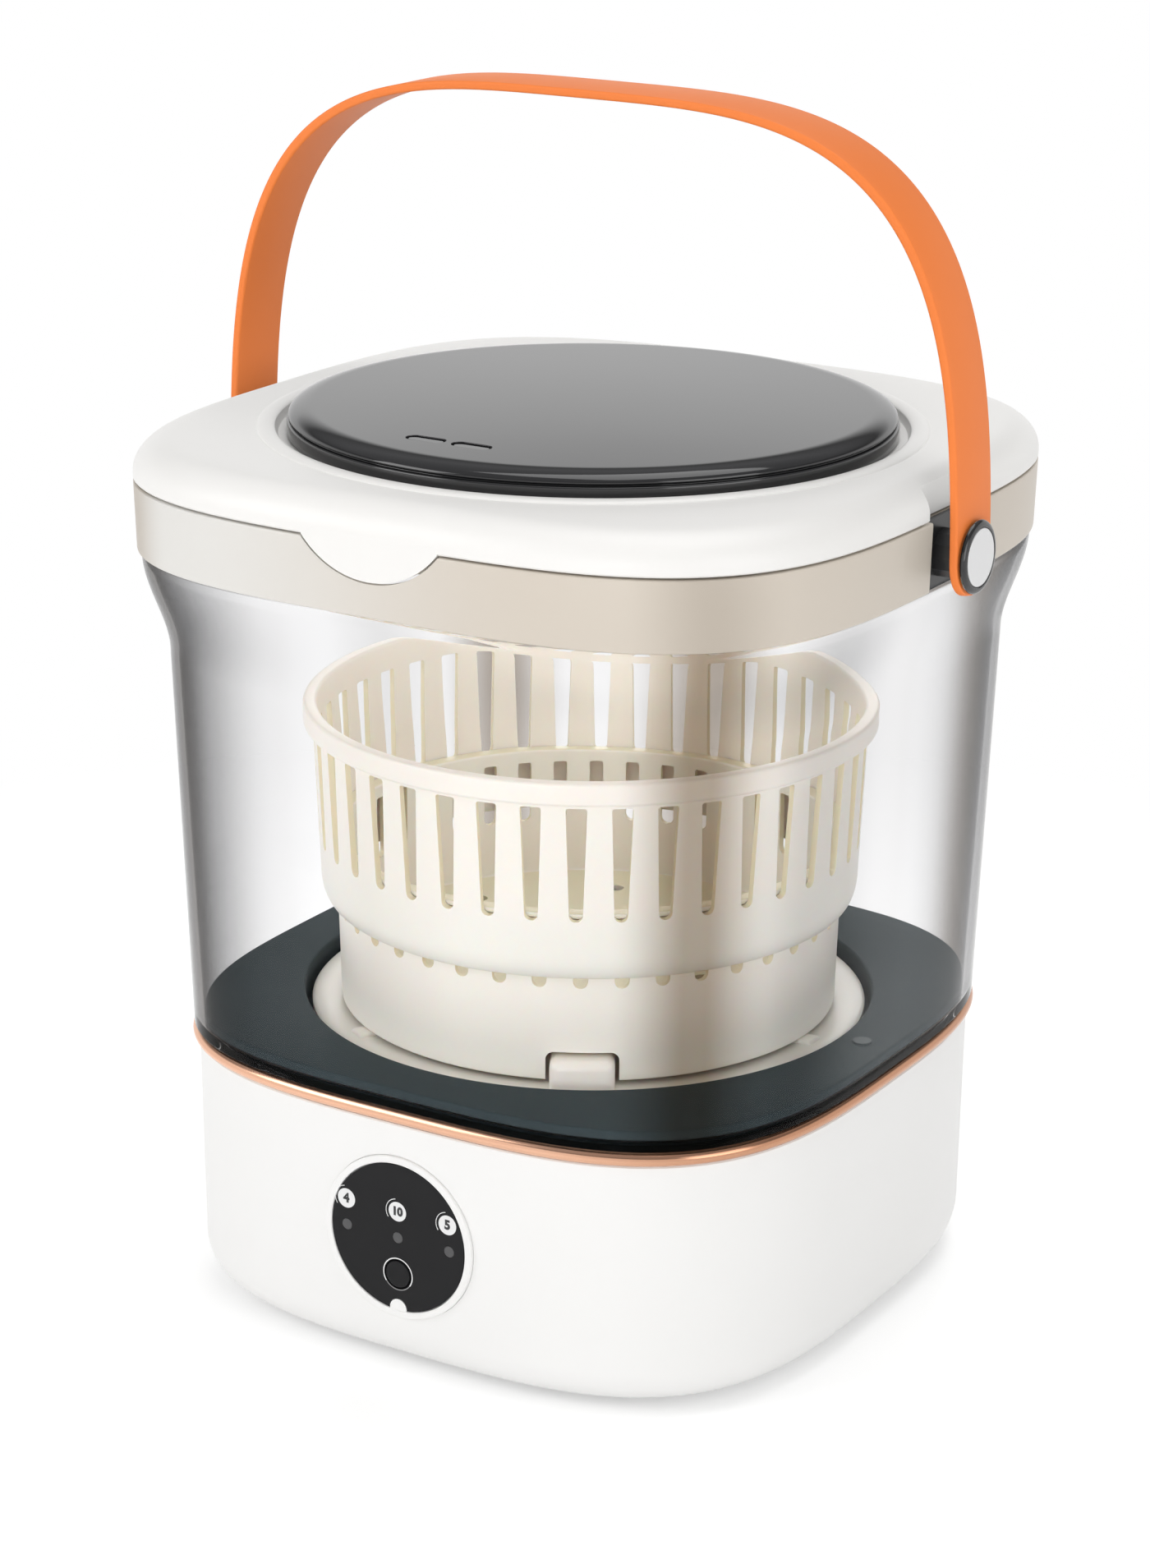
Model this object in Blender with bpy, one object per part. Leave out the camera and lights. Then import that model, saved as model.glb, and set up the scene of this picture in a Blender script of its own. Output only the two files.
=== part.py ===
"""Portable washing machine: a clear flared tub on a white base, with a lift-off lid,
a round cover let into the lid, a strap handle on two side pivots, and a slotted spin
basket that stands on the pulsator. Lengths are in metres, +Z is up, the front with the
control panel faces -Y, and the origin is under the middle of the machine."""

import math

import bmesh
import bpy
from mathutils import Matrix, Vector

for old in list(bpy.data.objects):
    bpy.data.objects.remove(old, do_unlink=True)

# Clearances that the whole machine shares
SEAT_GAP = 0.0003
SLIDE_GAP = 0.0006
OVERRUN = 0.002

# Plan outlines are superellipses: 2 is a circle, a larger exponent is squarer
BASE_PLAN = 3.25
TUB_PLAN = 3.31
RIM_PLAN = 3.44
ROUND = 2

# Plan sizes. The band round the mouth sets them all, each smaller by a named step
BAND_HALF = 0.140
BAND_DRAFT = 0.0006
SHOULDER_STEP = 0.0012
FLARE_STEP = 0.0080
TUB_TAPER_STEP = 0.0043
BASE_STEP = 0.0008
BASE_TAPER_STEP = 0.0013
BAND_LOW_HALF = BAND_HALF - BAND_DRAFT
TUB_SHOULDER_HALF = BAND_HALF - SHOULDER_STEP
TUB_WAIST_HALF = TUB_SHOULDER_HALF - FLARE_STEP
TUB_FOOT_HALF = TUB_WAIST_HALF - TUB_TAPER_STEP
BASE_TOP_HALF = TUB_FOOT_HALF - BASE_STEP
BASE_LOW_HALF = BASE_TOP_HALF - BASE_TAPER_STEP

# Facets round a whole turn
PLAN_FACETS = 32
ROUND_FACETS = 32
BASKET_FACETS = 40
SMALL_FACETS = 12
SCREW_FACETS = 6

# Feet
FOOT_HEIGHT = 0.0037
FOOT_RADIUS = 0.009
FOOT_EDGE = 0.0008
FOOT_STEM_RADIUS = 0.003
FOOT_INSET = 0.0389

# Base housing and the cover that closes it from below
BASE_HEIGHT = 0.0906
BASE_EDGE_RUN = 0.0100
BASE_EDGE_RISE = 0.0135
BASE_EDGE_STEPS = 3
BASE_WALL = 0.003
BASE_LEDGE = 0.0055
BASE_SOLE_HALF = BASE_LOW_HALF - BASE_EDGE_RUN
BASE_OPENING_HALF = BASE_SOLE_HALF - BASE_LEDGE
FOOT_OFFSET = BASE_OPENING_HALF - FOOT_INSET
COVER_THICK = 0.0026
COVER_POST_INSET = 0.0089
COVER_POST_OFFSET = BASE_OPENING_HALF - COVER_POST_INSET
COVER_POST_RADIUS = 0.005
COVER_POST_HEIGHT = 0.014
RIB_THICK = 0.004
VENT_COUNT = 7
VENT_LENGTH = 0.030
VENT_WIDTH = 0.0025
VENT_PITCH = 0.006

# Self-tapping screws
SCREW_HEAD_RADIUS = 0.0032
SCREW_HEAD_HEIGHT = 0.0014
SCREW_SHANK_RADIUS = 0.0013
SCREW_SHANK_LENGTH = 0.009
SCREW_TIP = 0.0008

# Copper-coloured bead between base and tub
TRIM_HEIGHT = 0.0054
TRIM_STEP = 0.0005
TRIM_HALF = TUB_FOOT_HALF + TRIM_STEP
TRIM_WIDTH = 0.004
TRIM_STEPS = 4

# Clear tub
TUB_WALL = 0.0025
TUB_STRAIGHT = 0.1394
TUB_FLARE = 0.0373
TUB_FLARE_STEPS = 4
TUB_FLANGE_WIDTH = 0.0105

# Dark floor of the tub, with the round well that the pulsator turns in
FLOOR_THICK = 0.0036
FLOOR_EDGE = 0.0008
WELL_INSET = 0.0230
WELL_RADIUS = TUB_FOOT_HALF - WELL_INSET
WELL_LIP = 0.0012
WELL_DEPTH = 0.011
WELL_WALL = 0.0025
HUB_RADIUS = 0.0145
HUB_LENGTH = 0.030
HUB_WEB = 0.0025
HUB_COLLAR_RADIUS = 0.0095
HUB_COLLAR_HEIGHT = 0.0015
SEAL_WIDTH = 0.004
SEAL_HEIGHT = 0.0015
SEAL_INSET = 0.0022
FLOOR_BOSS_INSET = 0.0405
FLOOR_BOSS_OFFSET = TUB_FOOT_HALF - FLOOR_BOSS_INSET
FLOOR_BOSS_RADIUS = 0.0042
FLOOR_BOSS_LENGTH = 0.013
FLOOR_TAB_THICK = 0.0027
FLOOR_TAB_WIDTH = 0.018
MARKER_RADIUS = 0.0032
MARKER_HEIGHT = 0.0006
MARKER_STEP = 0.0090
MARKER_OFFSET = WELL_RADIUS + MARKER_STEP

# Band round the mouth of the tub, with a pocket at each side for the handle
BAND_HEIGHT = 0.0247
BAND_WALL = 0.0025
BAND_FLANGE = 0.003
BAND_EDGE = 0.0005
MOUTH_STEP = 0.0072
MOUTH_HALF = BAND_HALF - MOUTH_STEP
POCKET_WIDTH = 0.032
POCKET_WALL = 0.0024
POCKET_CHEEK = 0.0025

# Lid
LID_HEIGHT = 0.0134
LID_CROWN_RUN = 0.012
LID_CROWN_RISE = 0.0112
LID_CROWN_STEPS = 4
LID_RIDGE_INSET = 0.0252
LID_RIDGE_RADIUS = BAND_HALF - LID_RIDGE_INSET
LID_RIDGE_WIDTH = 0.0066
LID_RIDGE_HEIGHT = 0.0009
LID_WELL_INSET = 0.0043
LID_WELL_RADIUS = LID_RIDGE_RADIUS - LID_WELL_INSET
LID_WELL_DEPTH = 0.0026
LID_PLATE_THICK = 0.0025
LID_SKIRT_STEP = 0.0028
LID_SKIRT_HALF = MOUTH_HALF - LID_SKIRT_STEP
LID_SKIRT_WALL = 0.0025
LID_SKIRT_DEPTH = 0.0096
LID_SKIRT_LIP = 0.0018
LID_NOTCH_WIDTH = 0.037
LID_NOTCH_DEPTH = 0.0050
LID_NOTCH_EDGE = 0.0035
TAB_WIDTH = 0.053
TAB_DROP = 0.0127
TAB_STEPS = 8
LINER_THICK = 0.002
LINER_RIB_INSET = 0.0105
LINER_RIB_RADIUS = LID_WELL_RADIUS - LINER_RIB_INSET
LINER_RIB_WALL = 0.002

# Round glossy cover let into the lid
DOME_MARGIN = 0.0034
DOME_RADIUS = LID_WELL_RADIUS - DOME_MARGIN
DOME_LIP_HEIGHT = 0.0052
DOME_LIP_EDGE = 0.0009
DOME_GROOVE = 0.0010
DOME_SHOULDER_RUN = 0.0085
DOME_SHOULDER_RISE = 0.0036
DOME_CROWN = 0.0016
PILL_LENGTH = 0.0150
PILL_WIDTH = 0.0034
PILL_DEPTH = 0.0008
PILL_CENTRE_X = -0.0073
PILL_PITCH = 0.0182
PILL_FROM_FRONT = 0.0262

# Strap handle and its pivots
PIVOT_ABOVE_BAND_FOOT = 0.0114
STRAP_WIDTH = 0.026
STRAP_THICK = 0.003
STRAP_EDGE = 0.0007
STRAP_END_RADIUS = 0.0133
STRAP_STEP = 0.0093
STRAP_HALF_SPAN = BAND_HALF + STRAP_STEP
STRAP_ARCH_RISE = 0.1861
STRAP_ARCH_BELOW_PIVOT = 0.0417
STRAP_ARCH = 3.59
STRAP_ARCH_STEPS = 32
STRAP_END_STEPS = 4
PIN_RADIUS = 0.004
PIN_LENGTH_IN_MOUNT = 0.0080
MOUNT_PLATE_THICK = 0.0015
MOUNT_BOSS_RADIUS = 0.0085
CAP_RADIUS = 0.0126
CAP_HEIGHT = 0.0020
CAP_RIM = 0.0019
CAP_WEB = 0.0007
CAP_EDGE = 0.0006
DISC_CROWN = 0.0004

# Pulsator and its drive
DISH_MARGIN = 0.0042
DISH_RADIUS = WELL_RADIUS - DISH_MARGIN
DISH_THICK = 0.0022
DISH_RIM_BELOW_FLOOR = 0.0037
DISH_SAG = 0.0022
DISH_LIP = 0.0030
CONE_RADIUS = 0.034
CONE_TOP_RADIUS = 0.012
CONE_HEIGHT = 0.0072
DOG_COUNT = 3
DOG_WIDTH = 0.0225
DOG_INSET = 0.0025
DOG_DEPTH = 0.0208
DOG_OUTER_RADIUS = DISH_RADIUS - DOG_INSET
DOG_INNER_RADIUS = DOG_OUTER_RADIUS - DOG_DEPTH
DOG_HEIGHT = 0.0102
DOG_EDGE = 0.0030
DOG_ANGLE_DEG = -60
VANE_WIDTH = 0.0080
VANE_HEIGHT = 0.0029
VANE_INSET = 0.0048
VANE_OUTER_RADIUS = DISH_RADIUS - VANE_INSET
VANE_EDGE = 0.0011
SHAFT_RADIUS = 0.004
SHAFT_TOP_DROP = 0.0030
BEARING_RADIUS = 0.011
BEARING_WIDTH = 0.007
BEARING_RACE = 0.0022
BEARING_SHIELD_DROP = 0.0004
SHAFT_SEAL_HEIGHT = 0.0055
SPACER_WALL = 0.0016
BOLT_HEAD_RADIUS = 0.0058
BOLT_HEAD_HEIGHT = 0.0022
BOLT_SHANK_RADIUS = 0.0018
BOLT_LENGTH = 0.012

# Motor
MOUNT_THICK = 0.003
MOUNT_RADIUS = 0.044
POST_OFFSET = 0.0265
POST_RADIUS = 0.0045
CAN_RADIUS = 0.030
CAN_ABOVE_COVER = 0.0133
CAN_WALL = 0.0018
CAN_FLANGE = 0.0125
CAN_FLANGE_THICK = 0.002
MAGNET_THICK = 0.003
MAGNET_MARGIN = 0.0140
ROTOR_GAP = 0.0006
ROTOR_MARGIN = 0.0020
ROTOR_SLOTS = 8
ROTOR_SLOT_WIDTH = 0.003
ROTOR_SLOT_DEPTH = 0.006

# Spin basket: a slotted cup and the slotted ring that it hangs in
BASKET_WALL = 0.0020
CUP_INSET = 0.0083
CUP_SKIRT_STEP = 0.0008
CUP_RADIUS = DISH_RADIUS - CUP_INSET
CUP_SKIRT_RADIUS = CUP_RADIUS - CUP_SKIRT_STEP
CUP_SKIRT_DEPTH = 0.0122
CUP_FLOOR_THICK = 0.002
CUP_FLOOR_RISE = 0.0134
CUP_FLANGE_STEP = 0.0037
CUP_FLANGE_RADIUS = CUP_RADIUS + CUP_FLANGE_STEP
CUP_FLANGE_THICK = 0.002
CUP_HUB_RADIUS = 0.020
CUP_HUB_TOP_RADIUS = 0.015
CUP_HUB_HEIGHT = 0.006
CUP_HOLE_RADIUS = 0.0030
CUP_HOLE_RINGS = 2
CUP_HOLES = 8
CUP_HOLE_PITCH = 0.022
CUP_HOLE_INSET = 0.0430
CUP_HOLE_FIRST_RADIUS = CUP_RADIUS - CUP_HOLE_INSET
NOTCH_WIDTH = 0.0255
NOTCH_CORNER = 0.0030
NOTCH_ABOVE_DOG = 0.0015
BASKET_HEIGHT = 0.1121
RING_RIM_STEP = 0.0120
RING_TOP_STEP = 0.0085
RING_LOW_STEP = 0.0062
RING_HEM_STEP = 0.0024
RING_RIM_RADIUS = CUP_RADIUS + RING_RIM_STEP
RING_RIM_HEIGHT = 0.0080
RING_RIM_THICK = 0.0050
RING_RIM_EDGE = 0.0015
RING_TOP_RADIUS = CUP_RADIUS + RING_TOP_STEP
RING_LOW_RADIUS = CUP_RADIUS + RING_LOW_STEP
RING_HEM_RADIUS = CUP_RADIUS + RING_HEM_STEP
RING_HEM_RISE = 0.0093
RING_HEM_STEPS = 3
RING_HEIGHT = 0.0728
RING_LEDGE_THICK = 0.0022
RING_LEDGE_ABOVE_HEM = 0.0193
SLOT_COUNT = 40
SLOT_PHASE_DEG = 1.6
CUP_SLOT_PHASE_DEG = 2.5
SLOT_TOP_WIDTH = 0.0073
SLOT_FOOT_WIDTH = 0.0048
SLOT_ABOVE_HEM = 0.0218
SLOT_BELOW_RIM = 0.0018
SLOT_FOOT_STEPS = 2
CUP_SLOT_WIDTH = 0.0052
CUP_SLOT_BELOW_HEM = 0.0048
CUP_SLOT_BELOW_FLANGE = 0.0030

# Control panel
PANEL_ABOVE_BASE_FOOT = 0.0182
PANEL_BELOW_BASE_TOP = 0.0118
PANEL_STEP = 0.0019
PANEL_FACE_Y = -(BASE_LOW_HALF + PANEL_STEP)
BEZEL_RADIUS = (BASE_HEIGHT - PANEL_ABOVE_BASE_FOOT - PANEL_BELOW_BASE_TOP) / 2
BEZEL_LIP = 0.0027
BEZEL_DEPTH = 0.0027
BEZEL_EDGE = 0.0006
BEZEL_WEB = 0.0007
BEZEL_TUBE_STEP = 0.0037
BEZEL_TUBE_RADIUS = BEZEL_RADIUS - BEZEL_TUBE_STEP
BEZEL_TUBE_WALL = 0.0016
BEZEL_TUBE_LENGTH = 0.0095
BEZEL_THUMB_RADIUS = 0.0034
BEZEL_THUMB_INSET = 0.0008
GLASS_DROP = 0.0004
BUTTON_RADIUS = 0.0049
BUTTON_DROP_SHARE = 0.519
BUTTON_DROP = BUTTON_DROP_SHARE * BEZEL_TUBE_RADIUS
BUTTON_PROUD = 0.0003
BUTTON_FLANGE = 0.0014
BUTTON_FLANGE_THICK = 0.0010
BUTTON_STEM_RADIUS = 0.0020
BUTTON_STEM_LENGTH = 0.0030
BUTTON_TRAVEL = 0.0012
LENS_RADIUS = 0.0019
LENS_INSET = 0.0054
LENS_PITCH = BEZEL_TUBE_RADIUS - LENS_INSET
LENS_SKIRT = 0.0008
PANEL_BOARD_THICK = 0.0016
SWITCH_SIZE = 0.006
SWITCH_HEIGHT = 0.0020

# Power board and inlet
BOARD_LENGTH = 0.056
BOARD_WIDTH = 0.040
BOARD_THICK = 0.0016
BOARD_INSET = 0.0429
BOARD_CENTRE_X = BOARD_INSET - BASE_OPENING_HALF
BOARD_CENTRE_Y = 0.040
BOARD_POST_RADIUS = 0.003
BOARD_POST_HEIGHT = 0.006
BOARD_POST_INSET = 0.005
CHOKE_RADIUS = 0.007
CHOKE_HEIGHT = 0.010
JACK_X = -0.030
JACK_Z = 0.040
JACK_RADIUS = 0.0065
JACK_FLANGE = 0.0020
JACK_INSET = 0.0010
JACK_FLANGE_THICK = 0.0012
JACK_LENGTH = 0.014
JACK_BORE = 0.0030
JACK_BORE_DEPTH = 0.009
JACK_PIN_RADIUS = 0.0010

# Drain
DRAIN_X = 0.040
DRAIN_INSET = 0.0375
DRAIN_WELL_Y = WELL_RADIUS - DRAIN_INSET
DRAIN_RADIUS = 0.0070
DRAIN_BORE = 0.0050
DRAIN_DROP = 0.0125
DRAIN_BEND = 0.010
DRAIN_BEND_STEPS = 5
DRAIN_PROUD = 0.0075
DRAIN_SOCKET_HEIGHT = 0.005
DRAIN_SOCKET_WALL = 0.002
PLUG_STEM = 0.009
PLUG_FLANGE_RADIUS = 0.0085
PLUG_FLANGE_THICK = 0.0020
PLUG_TAPER = 0.0006
PLUG_GRIP_THICK = 0.0028
PLUG_GRIP_WIDTH = 0.010
PLUG_GRIP_LENGTH = 0.0035

# Heights and places that follow from the sizes above
BASE_BOTTOM_Z = FOOT_HEIGHT + SEAT_GAP
COVER_TOP_Z = BASE_BOTTOM_Z + COVER_THICK
PANEL_Z = BASE_BOTTOM_Z + PANEL_ABOVE_BASE_FOOT + BEZEL_RADIUS
BASE_TOP_Z = BASE_BOTTOM_Z + BASE_HEIGHT
TRIM_BOTTOM_Z = BASE_TOP_Z + SEAT_GAP
TRIM_TOP_Z = TRIM_BOTTOM_Z + TRIM_HEIGHT
TUB_BOTTOM_Z = TRIM_TOP_Z + SEAT_GAP
FLARE_BOTTOM_Z = TUB_BOTTOM_Z + TUB_STRAIGHT
FLARE_TOP_Z = FLARE_BOTTOM_Z + TUB_FLARE
BAND_BOTTOM_Z = FLARE_TOP_Z + SEAT_GAP
BAND_TOP_Z = BAND_BOTTOM_Z + BAND_HEIGHT
BAND_INNER_HALF = BAND_HALF - BAND_WALL
TUB_NECK_HALF = BAND_INNER_HALF - SEAT_GAP
TUB_TOP_Z = BAND_TOP_Z - BAND_FLANGE - SEAT_GAP
TUB_FLANGE_TOP_Z = TUB_BOTTOM_Z + TUB_WALL
TUB_FLANGE_HALF = TUB_FOOT_HALF - TUB_FLANGE_WIDTH
FLOOR_BOTTOM_Z = TUB_FLANGE_TOP_Z + SEAT_GAP
FLOOR_TOP_Z = FLOOR_BOTTOM_Z + FLOOR_THICK
FLOOR_HALF = TUB_FOOT_HALF - TUB_WALL - SEAT_GAP
WELL_Z = FLOOR_TOP_Z - WELL_DEPTH
WELL_UNDER_Z = WELL_Z - WELL_WALL
HUB_BOTTOM_Z = WELL_UNDER_Z - HUB_LENGTH
SHAFT_BORE = SHAFT_RADIUS + SEAT_GAP
BEARING_BORE = BEARING_RADIUS + SEAT_GAP
LID_BOTTOM_Z = BAND_TOP_Z + SEAT_GAP
LID_TOP_Z = LID_BOTTOM_Z + LID_HEIGHT
LID_WELL_Z = LID_TOP_Z - LID_WELL_DEPTH
PIVOT_Z = BAND_BOTTOM_Z + PIVOT_ABOVE_BAND_FOOT
DISH_RIM_Z = FLOOR_TOP_Z - DISH_RIM_BELOW_FLOOR
DISH_Z = DISH_RIM_Z - DISH_SAG
CONE_TOP_Z = DISH_Z + CONE_HEIGHT
CUP_BOTTOM_Z = DISH_Z + VANE_HEIGHT + SEAT_GAP
BASKET_TOP_Z = CUP_BOTTOM_Z + BASKET_HEIGHT
HEM_Z = BASKET_TOP_Z - RING_HEIGHT


# Materials
def make_material(name, colour, roughness, metallic=0.0, transmission=0.0):
    material = bpy.data.materials.new(name)
    material.use_nodes = True
    shader = material.node_tree.nodes["Principled BSDF"]
    shader.inputs["Base Color"].default_value = (*colour, 1.0)
    shader.inputs["Roughness"].default_value = roughness
    shader.inputs["Metallic"].default_value = metallic
    shader.inputs["Transmission Weight"].default_value = transmission
    material.diffuse_color = (*colour, 0.35 if transmission else 1.0)
    material.roughness = roughness
    material.metallic = metallic
    return material


WHITE = make_material("white_plastic", (0.86, 0.85, 0.83), 0.35)
CLEAR = make_material("clear_plastic", (0.90, 0.92, 0.93), 0.05, transmission=1.0)
COPPER = make_material("copper_trim", (0.72, 0.36, 0.22), 0.22, metallic=1.0)
CHAMPAGNE = make_material("champagne_band", (0.62, 0.55, 0.48), 0.25)
SLATE = make_material("slate_floor", (0.055, 0.075, 0.085), 0.35)
CREAM = make_material("cream_plastic", (0.82, 0.78, 0.68), 0.40)
ORANGE = make_material("orange_strap", (0.85, 0.22, 0.07), 0.50)
GLOSS = make_material("gloss_grey", (0.10, 0.10, 0.105), 0.12)
BLACK = make_material("black_plastic", (0.02, 0.02, 0.022), 0.35)
SILVER = make_material("pale_cap", (0.70, 0.72, 0.74), 0.30, metallic=0.4)
STEEL = make_material("steel", (0.60, 0.61, 0.62), 0.30, metallic=1.0)
RUBBER = make_material("rubber", (0.05, 0.05, 0.055), 0.75)
SILICONE = make_material("silicone", (0.70, 0.70, 0.68), 0.60)
BOARD = make_material("board", (0.03, 0.20, 0.10), 0.50)
LENS = make_material("grey_lens", (0.22, 0.22, 0.22), 0.30)


# Shape helpers. Each one adds to a bmesh, so that several can make one operand
def plan_ring(half, z, exponent=ROUND, facets=PLAN_FACETS):
    """Points round a superellipse of this half-width, closer together at its corners."""
    points = []
    for step in range(facets):
        angle = 2 * math.pi * step / facets
        across = math.copysign(abs(math.cos(angle)) ** (2 / exponent), math.cos(angle))
        along = math.copysign(abs(math.sin(angle)) ** (2 / exponent), math.sin(angle))
        points.append(Vector((half * across, half * along, z)))
    return points


def arc(centre, run, rise, start, end, steps):
    """Points on an ellipse quarter or half, from start to end in degrees."""
    points = []
    for step in range(steps + 1):
        angle = math.radians(start + (end - start) * step / steps)
        across = centre[0] + run * math.cos(angle)
        points.append((across, centre[1] + rise * math.sin(angle)))
    return points


def add_rings(bm, rings, closed):
    """Skins rings of equal length. A closed run joins its last ring to its first."""
    rows = [[bm.verts.new(point) for point in ring] for ring in rings]
    pairs = list(zip(rows, rows[1:]))
    if closed:
        pairs.append((rows[-1], rows[0]))
    for low, high in pairs:
        for step in range(len(low)):
            after = (step + 1) % len(low)
            bm.faces.new((low[step], low[after], high[after], high[step]))
    if not closed:
        bm.faces.new(list(reversed(rows[0])))
        bm.faces.new(rows[-1])


def add_turned(bm, profile, closed=False, exponent=ROUND, facets=ROUND_FACETS, matrix=None):
    """Turns (half, z) or (half, z, exponent) points into a body round the Z axis."""
    rings = []
    for point in profile:
        own = point[2] if len(point) == 3 else exponent
        rings.append(plan_ring(point[0], point[1], own, facets))
    if matrix:
        rings = [[matrix @ point for point in ring] for ring in rings]
    add_rings(bm, rings, closed)


def add_prism(bm, outline, low, high, matrix=None):
    """Extrudes an outline of (x, y) points from z = low to z = high."""
    matrix = matrix or Matrix()
    rings = [[matrix @ Vector((x, y, z)) for x, y in outline] for z in (low, high)]
    add_rings(bm, rings, closed=False)


def add_box(bm, low, high, matrix=None):
    corners = [(low[0], low[1]), (high[0], low[1]), (high[0], high[1]), (low[0], high[1])]
    add_prism(bm, corners, low[2], high[2], matrix)


def add_soft_box(bm, low, high, edge, matrix=None, square_foot=False):
    """A box whose edges are rounded, all of them or all but those of its foot."""
    piece = bmesh.new()
    add_box(piece, low, high)
    edges = piece.edges[:]
    if square_foot:
        edges = [e for e in edges if max(v.co.z for v in e.verts) > (low[2] + high[2]) / 2]
    bmesh.ops.bevel(piece, geom=edges, offset=edge, segments=2, affect="EDGES", profile=0.5)
    if matrix:
        piece.transform(matrix)
    carrier = bpy.data.meshes.new("carrier")
    piece.to_mesh(carrier)
    piece.free()
    bm.from_mesh(carrier)
    bpy.data.meshes.remove(carrier)


def make_object(name, bm, material, at=(0, 0, 0), parent=None):
    """The object keeps its origin at this place, and the mesh stays where it was drawn."""
    bmesh.ops.recalc_face_normals(bm, faces=bm.faces[:])
    place = Vector(at)
    bm.transform(Matrix.Translation(-place))
    mesh = bpy.data.meshes.new(name)
    bm.to_mesh(mesh)
    bm.free()
    mesh.shade_smooth()
    mesh.set_sharp_from_angle(angle=math.radians(35))
    obj = bpy.data.objects.new(name, mesh)
    bpy.context.scene.collection.objects.link(obj)
    if parent:
        obj.parent = parent
        obj.location = place - parent.location
    else:
        obj.location = place
    if material:
        mesh.materials.append(material)
    return obj


def turned_object(name, profile, material, **options):
    at = options.pop("at", (0, 0, 0))
    parent = options.pop("parent", None)
    bm = bmesh.new()
    add_turned(bm, profile, **options)
    return make_object(name, bm, material, at, parent)


def combine(target, operation, bm, name):
    """Cuts or adds a hidden operand with a Boolean modifier."""
    operand = make_object(name, bm, None)
    operand.hide_render = True
    operand.display_type = "WIRE"
    modifier = target.modifiers.new(name, "BOOLEAN")
    modifier.operation = operation
    modifier.solver = "EXACT"
    modifier.object = operand
    return operand


def spun(angle_deg):
    return Matrix.Rotation(math.radians(angle_deg), 4, "Z")


FACING_FRONT = Matrix.Rotation(math.radians(90), 4, "X")
FACING_BACK = Matrix.Rotation(math.radians(-90), 4, "X")
CORNERS = [(sx, sy) for sx in (-1, 1) for sy in (-1, 1)]
SIDES = [(1, 0), (0, 1), (-1, 0), (0, -1)]


def base_half(z):
    """Outer half-width of the base above its rounded lower edge."""
    share = (z - BASE_BOTTOM_Z) / BASE_HEIGHT
    return BASE_LOW_HALF + (BASE_TOP_HALF - BASE_LOW_HALF) * share


def tub_half(z):
    """Outer half-width of the tub: a slight taper, then a flare up to the shoulder."""
    if z <= FLARE_BOTTOM_Z:
        share = (z - TUB_BOTTOM_Z) / TUB_STRAIGHT
        return TUB_FOOT_HALF + (TUB_WAIST_HALF - TUB_FOOT_HALF) * share
    share = (z - FLARE_BOTTOM_Z) / TUB_FLARE
    eased = share * share * (3 - 2 * share)
    return TUB_WAIST_HALF + (TUB_SHOULDER_HALF - TUB_WAIST_HALF) * eased


# Bottom cover with its foot holes, screw holes, vents and board posts
cover_half = BASE_OPENING_HALF - SEAT_GAP
bottom_cover = turned_object(
    "bottom_cover",
    [(cover_half, BASE_BOTTOM_Z), (cover_half, COVER_TOP_Z)],
    WHITE,
    exponent=BASE_PLAN,
    facets=PLAN_FACETS,
)
posts = bmesh.new()
post_x = BOARD_LENGTH / 2 - BOARD_POST_INSET
post_y = BOARD_WIDTH / 2 - BOARD_POST_INSET
for sx, sy in CORNERS:
    centre = Vector((BOARD_CENTRE_X + sx * post_x, BOARD_CENTRE_Y + sy * post_y, 0))
    foot = COVER_TOP_Z - COVER_THICK / 2
    profile = [(BOARD_POST_RADIUS, foot), (BOARD_POST_RADIUS, COVER_TOP_Z + BOARD_POST_HEIGHT)]
    add_turned(posts, profile, facets=SCREW_FACETS, matrix=Matrix.Translation(centre))
combine(bottom_cover, "UNION", posts, "board_posts")
openings = bmesh.new()
for sx, sy in CORNERS:
    centre = Matrix.Translation((sx * FOOT_OFFSET, sy * FOOT_OFFSET, 0))
    radius = FOOT_STEM_RADIUS + SEAT_GAP
    profile = [(radius, BASE_BOTTOM_Z - OVERRUN), (radius, COVER_TOP_Z + OVERRUN)]
    add_turned(openings, profile, facets=SMALL_FACETS, matrix=centre)
for sx, sy in SIDES:
    centre = Matrix.Translation((sx * COVER_POST_OFFSET, sy * COVER_POST_OFFSET, 0))
    head = SCREW_HEAD_RADIUS + SEAT_GAP
    shank = SCREW_SHANK_RADIUS + SEAT_GAP
    step = BASE_BOTTOM_Z + SCREW_HEAD_HEIGHT + SEAT_GAP
    profile = [(head, BASE_BOTTOM_Z - OVERRUN), (head, step), (shank, step), (shank, COVER_TOP_Z + OVERRUN)]
    add_turned(openings, profile, facets=SCREW_FACETS, matrix=centre)
for index in range(VENT_COUNT):
    y = (index - (VENT_COUNT - 1) / 2) * VENT_PITCH
    low = (-VENT_LENGTH / 2, y - VENT_WIDTH / 2, BASE_BOTTOM_Z - OVERRUN)
    add_box(openings, low, (VENT_LENGTH / 2, y + VENT_WIDTH / 2, COVER_TOP_Z + OVERRUN))
combine(bottom_cover, "DIFFERENCE", openings, "cover_openings")

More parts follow.
